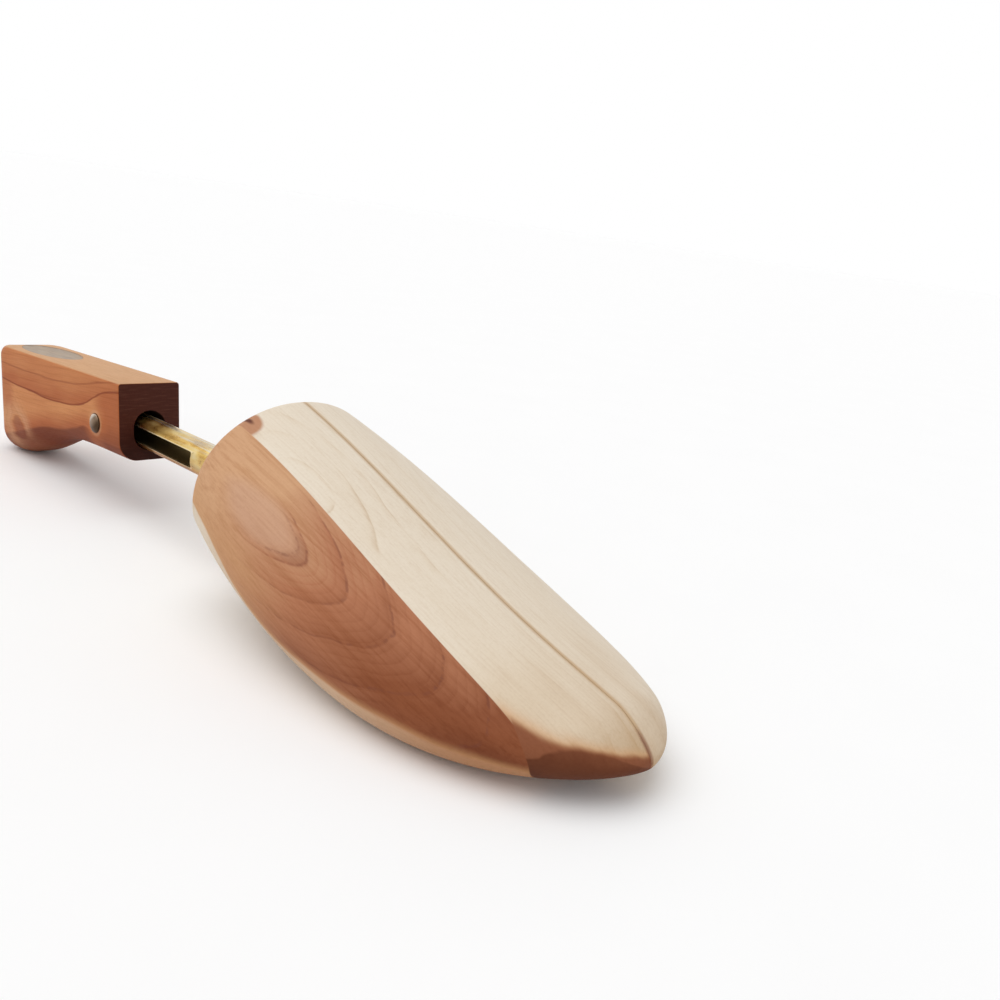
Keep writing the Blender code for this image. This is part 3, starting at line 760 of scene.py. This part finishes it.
class Shader:
    """Short calls that build the node tree of a material, or of a world."""

    def __init__(self, name, family="materials"):
        self.owner = getattr(bpy.data, family).new(name)
        self.owner.use_nodes = True
        self.tree = self.owner.node_tree
        self.surface = self.tree.nodes["Background" if family == "worlds" else "Principled BSDF"]

    def put(self, value, socket):
        if isinstance(value, bpy.types.NodeSocket):
            self.tree.links.new(value, socket)
        else:
            socket.default_value = value

    def node(self, kind, inputs=None, **settings):
        made = self.tree.nodes.new("ShaderNode" + kind)
        for key, value in settings.items():
            setattr(made, key, value)
        for key, value in (inputs or {}).items():
            self.put(value, made.inputs[key])
        return made

    def maths(self, operation, *values):
        made = self.node("Math", operation=operation)
        for socket, value in zip(made.inputs, values):
            self.put(value, socket)
        return made.outputs[0]

    def vector(self, operation, a, b):
        made = self.node("VectorMath", {0: a, 1: b}, operation=operation)
        return made.outputs["Value" if operation == "DOT_PRODUCT" else "Vector"]

    def chain(self, operation, values):
        total = values[0]
        for value in values[1:]:
            total = self.maths(operation, total, value)
        return total

    def add(self, *values):
        return self.chain("ADD", values)

    def times(self, *values):
        return self.chain("MULTIPLY", values)

    def minus(self, a, b):
        return self.maths("SUBTRACT", a, b)

    def rest(self, share):
        return self.minus(1.0, share)

    def scaled(self, value, factor, offset=0.0):
        return self.maths("MULTIPLY_ADD", value, factor, offset)

    def sway(self, noise, reach):
        """A noise from 0 to 1, spread over reach with its middle at 0."""
        return self.scaled(noise, reach, -reach / 2)

    def step(self, value, low, high, most=1.0, least=0.0):
        """From least at low to most at high, smoothly; low may be the larger one."""
        names = {"Value": value, "From Min": low, "From Max": high, "To Min": least, "To Max": most}
        return self.node("MapRange", names, interpolation_type="SMOOTHSTEP").outputs[0]

    def line(self, value, width, soft, most=1.0):
        """The most where value is within width of 0, fading over soft."""
        return self.step(self.maths("ABSOLUTE", value), width + soft, width, most)

    def saw(self, value, power, edge):
        """Shares of the way through each ring, with a crest that swells and breaks past edge."""
        share = self.maths("FRACT", value)
        return share, self.times(self.maths("POWER", share, power), self.step(share, 1.0, edge))

    def oval(self, a, b, power=2.0):
        """Distance from the middle of an oval, squarer with a higher power."""
        parts = [self.maths("POWER", self.maths("ABSOLUTE", side), power) for side in (a, b)]
        return self.maths("POWER", self.add(*parts), 1 / power)

    def local_mm(self, offset):
        """The piece's own coordinates in millimetres, moved by offset."""
        place = self.node("Attribute", attribute_name=OWN_PLACE).outputs["Vector"]
        return self.vector("ADD", place, offset)

    def object_place(self):
        return self.node("TexCoord").outputs["Object"]

    def axes(self, vector):
        return self.node("SeparateXYZ", {0: vector}).outputs[:3]

    def facing(self, direction):
        """How far the surface faces a direction of the row frame at rest."""
        return self.vector("DOT_PRODUCT", self.node("TexCoord").outputs["Normal"], direction)

    def grain(self, place, stretch, detail=2.0, rough=0.5):
        """Noise that is finer along the axes with a larger stretch."""
        names = {"Vector": self.vector("MULTIPLY", place, stretch), "Scale": 1.0}
        names |= {"Detail": detail, "Roughness": rough}
        return self.node("TexNoise", names).outputs["Fac"]

    def between(self, share, a, b):
        return self.node("Mix", {0: share, 2: a, 3: b}).outputs[0]

    def mix(self, share, a, b, blend="MIX"):
        made = self.node("Mix", data_type="RGBA", blend_type=blend)
        for index, value in zip(MIX_INPUTS, (share, a, b)):
            self.put(value if not isinstance(value, tuple) else (*value, 1.0), made.inputs[index])
        return made.outputs[MIX_OUTPUT]

    def shaded(self, share, colour, tint):
        """The colour, multiplied by a tint in the given share."""
        return self.mix(share, colour, self.mix(1.0, colour, tint, "MULTIPLY"))

    def ramp(self, value, stops):
        made = self.node("ValToRGB", {0: value})
        elements = made.color_ramp.elements
        while len(elements) < len(stops):
            elements.new(0.5)
        for element, (place, colour) in zip(elements, stops):
            element.position = place
            element.color = (*colour, 1.0)
        return made.outputs[0]

    def curve(self, value, reach, span, points):
        """A smooth curve through points: from value in reach to a height in span."""
        length, height = reach[1] - reach[0], span[1] - span[0]
        share = self.scaled(value, 1 / length, -reach[0] / length)
        made = self.node("FloatCurve", {"Value": share})
        own = made.mapping.curves[0].points
        while len(own) < len(points):
            own.new(0.5, 0.5)
        for point, (x, y) in zip(own, points):
            point.location = (x - reach[0]) / length, (y - span[0]) / height
        made.mapping.update()
        return self.scaled(made.outputs[0], height, span[0])

    def bump(self, height, strength, distance):
        names = {"Height": height, "Strength": strength, "Distance": distance}
        return self.node("Bump", names).outputs[0]

    def done(self, colour, roughness, normal, metallic=0.0):
        names = "Base Color", "Roughness", "Normal", "Metallic"
        for name, value in zip(names, (colour, roughness, normal, metallic)):
            self.put(value, self.surface.inputs[name])
        return self.owner


def wood_finish(mat, colour, place, streaks):
    """Fibres, short pores, satin roughness and a fine bump on a wood's colour."""
    fibre = mat.grain(place, (0.03, 1.6, 1.6), 4, 0.6)
    pores = mat.grain(place, (0.16, 2.8, 2.8))
    speckle = mat.grain(place, (1.3, 1.3, 1.3), 3, 0.6)
    colour = mat.shaded(mat.step(fibre, 0.40, 0.80), colour, streaks)
    colour = mat.shaded(mat.step(pores, 0.60, 0.80), colour, streaks)
    colour = mat.shaded(mat.step(speckle, 0.40, 0.75), colour, WOOD_SPECKLE)
    roughness = mat.scaled(fibre, 0.20, 0.44)
    height = mat.add(fibre, mat.scaled(pores, -0.7))
    mat.put(WOOD_SPECULAR, mat.surface.inputs["Specular IOR Level"])
    return mat.done(colour, roughness, mat.bump(height, WOOD_BUMP, WOOD_BUMP_DEPTH))


def toe_places(mat):
    """Places on the toe in millimetres, with a slow wave and a quicker ripple along the grain."""
    place = mat.local_mm((-MM * PIVOT_SETBACK, 0.0, MM * PIVOT_HEIGHT))
    wave = mat.grain(place, (0.018, 0.05, 0.05), 1)
    ripple = mat.grain(place, (0.05, 0.18, 0.18))
    return ToePlaces(place, *mat.axes(place), wave, ripple)


def cream_tone(mat, toe, middle, pull, strength):
    """Darkness of sapwood: faint growth lines that close in loops behind the ball, and clouds."""
    x = toe.x
    run = mat.scaled(x, pull, -pull * middle[0])
    run = mat.maths("SMOOTH_MIN", run, LOOP_REACH, LOOP_SOFTNESS)
    side = mat.add(toe.y, -middle[1], mat.sway(toe.wave, 5), mat.sway(toe.ripple, 2))
    lines = mat.saw(mat.scaled(mat.oval(run, side), LOOPS_PER_MM), 6, 0.95)[1]
    lines = mat.times(lines, mat.step(toe.ripple, 0.36, 0.62))
    lines = mat.times(lines, mat.step(x, 115, 75, 0.58, 0.14), strength)
    cloud = mat.scaled(mat.grain(toe.place, (0.02, 0.08, 0.08)), 0.5, -0.05)
    nose = mat.add(mat.step(x, 85, 140, 0.28), mat.step(x, 138, 157, 0.32))
    return mat.add(lines, cloud, mat.step(x, 25, 75, 0.10), nose)


def seam_painted_shadow(mat, colour, toe):
    """Painted shadow of the seam's gap: a brown line along the seam, darkest at the nose."""
    brown = mat.mix(mat.step(toe.x, 148.5, 153.5), SEAM_PAINTED_SHADOW, SEAM_NOSE_PAINTED_SHADOW)
    return mat.mix(mat.line(toe.y, 0.30, 1.10, 0.66), colour, brown)


def end_grain(mat, colour, tint):
    """Darkens the faces that cut across the fibres."""
    facing = mat.maths("ABSOLUTE", mat.facing(TOE_FORWARD))
    return mat.shaded(mat.step(facing, 0.62, 0.97), colour, tint)


def heartwood(mat, toe):
    """Red heartwood whose rings close round a pinkish oval high on the flank."""
    x, y, z = toe.x, toe.y, toe.z
    across = mat.add(mat.scaled(y, -0.67, -22.8), mat.scaled(z, -0.74, 23))
    across = mat.add(across, mat.sway(toe.wave, 3))
    ahead = mat.add(x, -RING_MIDDLE)
    ring = mat.oval(ahead, mat.scaled(across, RING_NARROWING), RING_POWER)
    ring = mat.add(ring, mat.sway(toe.ripple, 5))
    tip = mat.maths("DIVIDE", ahead, ring)
    start = 1 - RING_FIRST / RING_SPACING
    share, late = mat.saw(mat.scaled(ring, 1 / RING_SPACING, start), 3, 0.95)
    fine = mat.saw(mat.scaled(ring, FINE_RINGS / RING_SPACING), 3, 0.85)[1]
    shown = mat.times(mat.step(tip, -0.2, 0.7, 1, 0.25), mat.step(ring, 6, 14))
    rings = mat.times(shown, mat.add(mat.scaled(late, 0.18), mat.scaled(fine, 0.11)))
    tone = mat.add(mat.scaled(x, 0.0108, 0.295), mat.scaled(z, -0.020), rings)
    tone = mat.add(tone, mat.sway(toe.wave, 0.36), mat.sway(toe.ripple, 0.16))
    for strength, level, rise, fall in RED_AREAS:
        along = mat.times(mat.step(x, *rise), mat.step(x, *fall))
        tone = mat.add(tone, mat.times(mat.step(z, *level, strength), along))
    red = mat.ramp(tone, RED)
    stripes = mat.grain(toe.place, (0.014, 0.9, 0.9), 3, 0.6)
    red = mat.shaded(mat.step(stripes, 0.42, 0.72), red, RED_STRIPES)
    fore = mat.times(mat.step(z, 31, 25), mat.step(x, 112, 135))
    red = mat.shaded(fore, red, RED_FORE)
    low = mat.times(mat.step(z, 27, 16, 0.55), mat.step(x, 75, 35))
    red = mat.mix(low, red, GOLDEN)
    red = mat.mix(mat.step(ring, 25, 12, 0.65), red, PINKISH)
    # Thin broken lines, clearest at the rings' tips
    broken = mat.step(mat.grain(toe.place, (0.30, 0.7, 0.7)), 0.40, 0.60)
    clear = mat.times(mat.step(tip, -0.30, 0.70), mat.step(across, 4, -3, 1, 0.6))
    thin = mat.line(mat.add(share, -0.955), 0.012, 0.040, 0.40)
    thin = mat.times(thin, clear, broken, mat.step(ring, 9, 16))
    inner = mat.line(mat.add(ring, -19), 0.2, 1.2, 0.38)
    inner = mat.times(inner, mat.step(tip, 0.1, 0.8), broken)
    bruise = mat.line(mat.add(ring, -21), 1, 4, 0.22)
    bruise = mat.times(bruise, mat.step(tip, 0.5, 0.95))
    for mark in (thin, inner, bruise):
        red = mat.mix(mark, red, RING_PURPLE)
    return red


def rear_corner(mat, toe, cream, red):
    """The pale board with a heartwood corner and its small knot at the rear."""
    x, y, z = toe.x, toe.y, toe.z
    reach = mat.oval(mat.scaled(x, 0.54), mat.scaled(z, 0.26, -10.7))
    reach = mat.oval(reach, mat.add(y, 22.5), 2.6)
    corner = mat.step(mat.add(reach, mat.sway(toe.wave, 4)), 6.2, 5.2)
    knot = mat.oval(mat.scaled(x, 0.42, -1.5), mat.scaled(y, 1.5, 29.4))
    knot = mat.oval(knot, mat.scaled(z, 0.30, -12.3))
    patch = mat.mix(mat.step(knot, 1.6, 0.5), CORNER_RED, CORNER_KNOT)
    upper = mat.step(mat.add(x, mat.scaled(z, 0.25, -11)), -1, 2)
    return mat.mix(corner, cream, mat.mix(upper, red, patch))


def right_toe_material():
    """A red board glued to a pale one, a pale strip at the sole and an end-grain nose."""
    mat = Shader("cedar_right_toe")
    toe = toe_places(mat)
    x, y, z = toe.x, toe.y, toe.z
    red = heartwood(mat, toe)
    cream = mat.ramp(cream_tone(mat, toe, RIGHT_LOOPS, 0.42, 1), CREAM)
    outside = mat.add(mat.scaled(y, -1), mat.scaled(x, -GLUE_SLOPE, -GLUE_SIDE))
    glued = mat.step(outside, -0.15, 0.15)
    colour = mat.mix(glued, rear_corner(mat, toe, cream, red), red)
    # Heartwood low at the nose, with a golden edge below a band of painted shade on the pale wood
    level = mat.add(z, mat.sway(toe.ripple, 1.2))
    drop = mat.minus(mat.curve(y, CHIN_REACH, CHIN_SPAN, CHIN_LINE), level)
    ahead, bare = mat.step(x, 122, 129), mat.rest(glued)
    # Painted shade on the pale wood above the chin
    chin_shade = mat.times(mat.step(drop, -7, -0.5, 0.36), mat.step(x, 108, 128), bare)
    colour = mat.shaded(chin_shade, colour, CHIN_PAINTED_SHADE)
    edge = mat.times(mat.step(drop, -1.8, 0.3, 0.85), ahead, bare)
    colour = mat.mix(edge, colour, GOLDEN)
    chin = mat.times(ahead, mat.step(drop, -0.7, 0.7))
    colour = mat.mix(chin, colour, red)
    # Sapwood strip at the sole, browner towards the nose
    edge = mat.curve(x, TOE_REACH, TOE_SPAN, STRIP_LINE)
    under = mat.minus(mat.add(edge, mat.sway(toe.ripple, 1.2)), z)
    board = mat.maths("MAXIMUM", mat.step(outside, -4, 0), mat.step(x, 60, 100))
    gold = mat.times(mat.step(under, -2.6, 0.4, 0.6), board)
    colour = mat.mix(gold, colour, GOLDEN)
    strip = mat.mix(mat.step(x, -12, 70), cream, STRIP_TAN)
    strip = mat.mix(mat.step(x, 75, 135), strip, STRIP_BROWN)
    colour = mat.mix(mat.step(under, -0.6, 0.8), colour, strip)
    # Front block of the nose, end grain, with painted light on its upper facet
    lit_facet = mat.minus(level, mat.curve(y, CHIN_REACH, CHIN_SPAN, LIT_FACET_LINE))
    block = mat.add(mat.scaled(z, 0.05, -1), mat.sway(toe.ripple, 0.4))
    block = mat.ramp(mat.add(block, mat.step(lit_facet, -0.4, 0.4, 0.45)), CHIN)
    beyond = mat.minus(x, mat.curve(z, JOINT_REACH, JOINT_SPAN, JOINT_LINE))
    colour = mat.mix(mat.times(mat.step(beyond, -0.15, 0.15), chin), colour, block)
    colour = seam_painted_shadow(mat, colour, toe)
    colour = end_grain(mat, colour, RIGHT_END_GRAIN)
    return wood_finish(mat, colour, toe.place, PALE_STREAKS)


def left_toe_material():
    """Sapwood all over, browner at the nose's end grain."""
    mat = Shader("cedar_left_toe")
    toe = toe_places(mat)
    tone = cream_tone(mat, toe, LEFT_LOOPS, 0.17, 0.55)
    tip = mat.step(mat.add(toe.x, mat.sway(toe.ripple, 8)), 126, 162)
    chin = mat.times(tip, mat.step(toe.z, 36, 24, 0.25))
    colour = mat.ramp(mat.add(tone, mat.scaled(tip, -0.10), chin), CREAM)
    colour = seam_painted_shadow(mat, colour, toe)
    colour = end_grain(mat, colour, LEFT_END_GRAIN)
    return wood_finish(mat, colour, toe.place, PALE_STREAKS)


def heel_knot(mat, colour, back, z, ripple):
    """A knot low at the back: a dark eye in a pale halo, wider towards the back."""
    behind, over = mat.add(back, -KNOT_BACK), mat.add(z, KNOT_DROP)
    lean, rise = KNOT_LEAN
    along = mat.add(mat.scaled(behind, -lean), mat.scaled(over, -rise))
    aside = mat.add(mat.scaled(behind, rise), mat.scaled(over, -lean))
    wider = mat.scaled(mat.maths("ABSOLUTE", aside), -0.2)
    aside = mat.add(mat.scaled(aside, 0.8), wider)
    knot = mat.oval(mat.scaled(along, 1 / KNOT_LENGTH), mat.scaled(aside, 1 / KNOT_WIDTH))
    knot = mat.add(knot, mat.sway(ripple, 1.4))
    halo = mat.times(mat.step(knot, 0.5, 1.4, 0.60), mat.step(knot, 3.3, 1.4))
    sunk = mat.add(z, mat.scaled(back, 0.6, -51))
    halo = mat.times(halo, mat.step(sunk, -20, -11, 1, 0.15))
    halo = mat.times(halo, mat.step(z, 1, -6, 1, 0.2))
    colour = mat.mix(halo, colour, HALO_TAN)
    colour = mat.mix(mat.step(knot, 1, 0.3, 0.55), colour, EYE_BROWN)
    rings = mat.maths("POWER", mat.maths("FRACT", mat.scaled(knot, 1.6)), 4)
    return mat.mix(mat.times(rings, mat.step(knot, 4, 2, 0.16)), colour, RING_BROWN)


def heel_material():
    """Heartwood with two swooping growth lines, a knot low at the back, painted light on the top
    and painted shade in the bore.
    """
    mat = Shader("cedar_heel_wood")
    place = mat.local_mm((-MM * PIN_SETBACK, 0.0, 0.0))
    x, y, z = mat.axes(place)
    back = mat.scaled(x, -1)
    wave = mat.grain(place, (0.03, 0.05, 0.09))
    ripple = mat.grain(place, (0.05, 0.16, 0.25))
    level = mat.add(z, mat.scaled(y, 0.10, 1.25), mat.sway(ripple, 1.4))
    over_upper, over_swoop, over_lower = [
        mat.minus(level, mat.curve(back, HEEL_REACH, HEEL_SPAN, line))
        for line in (UPPER_LINE, SWOOP_LINE, LOWER_LINE)
    ]
    # Each growth band darkens downwards to its line, and the lowest is darkest
    high = mat.step(over_swoop, 0, 10, 0.23, 0.43)
    low = mat.step(over_lower, 0, 9, 0.11, 0.44)
    tone = mat.between(mat.step(over_swoop, -0.4, 0), low, high)
    under = mat.step(back, 22, 30, 0.50, 0.18)
    under = mat.times(under, mat.step(over_lower, 0.5, -0.9))
    below = mat.step(over_swoop, 0, -0.4)
    fore = mat.step(mat.add(back, mat.sway(wave, 26)), 22, 8, 0.36)
    rear = mat.times(mat.step(back, 91, 99, 0.24), mat.step(z, -7, -1))
    ends = mat.times(mat.add(fore, rear), below)
    tone = mat.add(tone, under, mat.sway(wave, 0.40), ends)
    colour = mat.ramp(tone, HEEL_RED)
    fine = mat.add(level, mat.scaled(wave, 6))
    fine = mat.saw(mat.scaled(fine, FINE_LINES_PER_MM), 4, 0.9)[1]
    colour = mat.mix(mat.scaled(fine, 0.18), colour, RING_BROWN)
    colour = heel_knot(mat, colour, back, z, ripple)
    second = mat.line(mat.add(over_swoop, mat.scaled(back, 0.035, -2.9)), 0.05, 0.35, 0.5)
    second = mat.times(second, mat.step(back, 42, 52), mat.step(back, 96, 84))
    upper = mat.line(over_upper, 0.10, 0.50, 0.45)
    swoop = mat.line(over_swoop, 0.14, 0.45, 0.75)
    for line in (upper, swoop, second):
        colour = mat.mix(line, colour, RING_BROWN)
    # Pale wood round the nail, and a painted shadow of a gap round its head
    nail = mat.oval(mat.add(x, MM * PIN_SETBACK), z)
    right = mat.step(y, -10, -11.5)
    colour = mat.mix(mat.times(mat.line(nail, 4, 1.8, 0.50), right), colour, NAIL_PALE)
    colour = mat.mix(mat.times(mat.line(nail, 3.75, 0.35, 0.80), right), colour, NAIL_GAP_PAINTED_SHADOW)
    # Painted light on the upward-facing top, dark end grain in front with painted shade low on it,
    # and painted shade in the bore
    front, top = mat.facing(HEEL_FORWARD), mat.facing(HEEL_UP)
    colour = mat.mix(mat.step(top, 0.60, 0.97, 0.68), colour, TOP_PAINTED_LIGHT)
    scratch = mat.grain(place, (0.5, 0.12, 1.4), 3, 0.6)
    face = mat.mix(mat.step(scratch, 0.45, 0.80), FRONT_DARK, FRONT_SCRATCH)
    # Painted shade on the lower part of the front face
    face = mat.shaded(mat.step(z, 3, -11), face, FRONT_PAINTED_SHADE)
    colour = mat.mix(mat.step(front, 0.60, 0.95), colour, face)
    # Painted shade on the bore's walls
    bore_shade = mat.times(mat.step(mat.oval(y, z), 9.5, 9.2), mat.step(front, 0.7, 0.4))
    bore_shade = mat.times(bore_shade, mat.step(back, BORE_END + 1, BORE_END))
    colour = mat.mix(bore_shade, colour, BORE_PAINTED_SHADE)
    return wood_finish(mat, colour, place, RED_STREAKS)


def tube_material():
    """Worn gold plating, paler towards the toe, with a painted highlight along the top, brown
    inside and a painted brown reflection below.
    """
    mat = Shader("worn_plating_painted_highlights")
    place = mat.local_mm((0.0, 0.0, 0.0))
    x, y, z = mat.axes(place)
    patches = mat.grain(place, (0.10, 0.24, 0.24), 3, 0.55)
    streaks = mat.grain(place, (0.03, 0.8, 0.8), 3, 0.6)
    colour = mat.ramp(mat.add(patches, mat.scaled(x, 0.0036, 0.20)), PLATING)
    # Painted highlight: silver along the top, broken by streaks
    top_highlight = mat.add(mat.scaled(z, 0.080), mat.scaled(x, 0.002, 0.10))
    top_highlight = mat.add(top_highlight, mat.sway(streaks, 0.7))
    colour = mat.mix(mat.step(top_highlight, 0.36, 0.60), colour, PLATING_TOP_PAINTED_HIGHLIGHT)
    specks = mat.grain(place, (0.5, 0.9, 0.9))
    colour = mat.shaded(mat.step(specks, 0.66, 0.80), colour, PLATING_SPECKS)
    # Painted reflection of the brown wood, darkening the underside
    colour = mat.shaded(mat.step(z, -1, -4.2), colour, PLATING_UNDER_PAINTED_REFLECTION)
    # Painted highlights on the lips along the slot, a dull inside
    slot_end = MM * SLOT_FRONT_X
    lip = mat.add(mat.maths("ABSOLUTE", z), -MM * SLOT_WIDTH / 2)
    lip = mat.times(mat.line(lip, 0.18, 0.22, 0.75), mat.step(y, -3, -4.5))
    lip = mat.times(lip, mat.step(x, slot_end + 0.6, slot_end))
    colour = mat.mix(lip, colour, PLATING_LIP_HIGHLIGHT)
    wall = MM * (TUBE_RADIUS - TUBE_WALL)
    outside = mat.step(mat.oval(y, z), wall + 0.02, wall + 0.10)
    colour = mat.mix(outside, PLATING_INSIDE, colour)
    roughness = mat.add(mat.scaled(patches, 0.30, 0.14), mat.scaled(outside, -0.2, 0.2))
    return mat.done(colour, roughness, mat.bump(patches, 0.08, 0.0003), 1)


def steel_material(name, colour, scratch, own=True, lean=None):
    """Drawn steel with fine marks and darker stains; with lean, a painted highlight where it faces
    lean and painted shade where it faces away.

    Without its own coordinates, a piece takes its marks from the object's."""
    mat = Shader(name)
    if own:
        place = mat.local_mm((0.0, 0.0, 0.0))
    else:
        place = mat.vector("MULTIPLY", mat.object_place(), (MM, MM, MM))
    marks = mat.grain(place, scratch, 4, 0.6)
    stain = mat.grain(place, (0.35, 0.35, 0.35), 3)
    tint = tuple(STAIN_SHARE * part for part in colour)
    colour = mat.mix(mat.step(stain, 0.45, 0.75), colour, tint)
    if lean:
        # Painted shade where the steel faces away from lean, painted highlight where it faces lean
        facing = mat.facing(lean)
        colour = mat.shaded(mat.step(facing, 0.12, -0.32), colour, NAIL_PAINTED_SHADE)
        colour = mat.mix(mat.step(facing, 0.10, 0.42), colour, NAIL_PAINTED_HIGHLIGHT)
    roughness = mat.scaled(marks, 0.30, 0.16)
    return mat.done(colour, roughness, mat.bump(marks, 0.15, 0.0001), 1)


def label_material():
    """Bare worn foil: mottled grey-brown with paler scuffs."""
    mat = Shader("worn_foil")
    place = mat.local_mm((-MM * PIN_SETBACK, 0.0, 0.0))
    mottle = mat.grain(place, (0.16, 0.30, 0.30), 3)
    scuff = mat.grain(place, (0.10, 0.55, 0.55), 3, 0.55)
    colour = mat.mix(mat.step(scuff, 0.52, 0.72, 0.32), mat.ramp(mottle, FOIL), FOIL_SCUFF)
    colour = mat.shaded(mat.step(scuff, 0.46, 0.30), colour, FOIL_SHADE)
    return mat.done(colour, mat.scaled(mottle, 0.3, 0.35), mat.bump(mottle, 0.15, 0.0003))


def make_world():
    """White surroundings that light the tree less than they show."""
    sky = Shader("studio", "worlds")
    bpy.context.scene.world = sky.owner
    rays = sky.node("LightPath").outputs
    seen = sky.maths("MAXIMUM", rays["Is Camera Ray"], rays["Is Glossy Ray"])
    seen = sky.maths("MAXIMUM", seen, rays["Is Transmission Ray"])
    strength = sky.node("MapRange", {"Value": seen, "To Min": WORLD_LIGHT, "To Max": 1.0})
    sky.put((1.0, 1.0, 1.0, 1.0), sky.surface.inputs["Color"])
    sky.put(strength.outputs[0], sky.surface.inputs["Strength"])


def make_stage():
    """A pale floor that keeps the shadow, and soft lamps."""
    reach = FLOOR_REACH
    corners = [(-reach, -reach, 0), (reach, -reach, 0), (reach, reach, 0), (-reach, reach, 0)]
    floor = new_object("floor", corners, [(0, 1, 2, 3)], Matrix.Identity(4))
    mat = Shader("floor_white")
    speckle = mat.grain(mat.object_place(), (20.0, 20.0, 20.0))
    colour, bump = mat.ramp(speckle, FLOOR_WHITE), mat.bump(speckle, 0.02, 0.0002)
    floor.data.materials.append(mat.done(colour, FLOOR_ROUGHNESS, bump))

    for name, place, spread, power in LAMPS:
        light = bpy.data.lights.new(name, "SUN")
        light.angle = radians(spread)
        light.energy = power
        lamp = bpy.data.objects.new(name, light)
        bpy.context.scene.collection.objects.link(lamp)
        lamp.location = place
        lamp.rotation_euler = (-Vector(place)).to_track_quat("-Z", "Y").to_euler()


def make_camera():
    data = bpy.data.cameras.new("photo_camera")
    data.lens = CAMERA_LENS
    data.sensor_width = CAMERA_SENSOR
    data.clip_start = CAMERA_NEAREST
    camera = bpy.data.objects.new("photo_camera", data)
    bpy.context.scene.collection.objects.link(camera)
    camera.matrix_world = Matrix((*CAMERA_ROWS, (0.0, 0.0, 0.0, 1.0)))
    bpy.context.scene.camera = camera


def main():
    for old in list(bpy.data.objects):
        bpy.data.objects.remove(old, do_unlink=True)
    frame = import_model()
    bpy.context.scene.view_settings.view_transform = "Standard"
    joints = {joint["name"]: joint for joint in frame["joints"]}
    pivot = Vector(joints["toe_pivot"]["pos_m"])
    nail = Vector(joints["heel_rock"]["pos_m"])
    tube_place = Matrix.Translation(pivot)
    toe_place = tube_place @ Matrix.Rotation(TOE_PITCH, 4, "Y")
    nail_place = Matrix.Translation(nail)
    heel_place = nail_place @ Matrix.Rotation(-HEEL_DROOP, 4, "Y")

    make_toe_half(
        "right_toe_wood", -1, toe_place, right_toe_material(),
        "right_half", "cedar_heartwood", "right_toe_half",
    )
    make_toe_half(
        "left_toe_wood", 1, toe_place, left_toe_material(),
        "left_half", "cedar_sapwood", "left_toe_half",
    )
    wire = steel_material("wire_steel", WIRE_STEEL, (0.3, 2.0, 2.0))
    make_toe_wire("right_toe_wire", -1, toe_place, wire)
    make_toe_wire("left_toe_wire", 1, toe_place, wire)
    make_tube(tube_place, tube_material())
    make_heel(heel_place, pivot.z, heel_material())
    make_label(heel_place, label_material())
    make_nail(nail_place, steel_material("nail_steel", NAIL_STEEL, (1.2, 1.2, 1.2), lean=NAIL_LIT_DIRECTION))
    make_spring(nail_place, steel_material("coil_steel", COIL_STEEL, (0.6, 0.6, 0.6)))
    guide = steel_material("guide_steel", GUIDE_STEEL, (2.0, 0.1, 2.0), own=False)
    for name in ("rear_guide_pin", "front_guide_pin"):
        frame["nodes"][name].data.materials.clear()
        frame["nodes"][name].data.materials.append(guide)
    make_world()
    make_stage()
    make_camera()


main()
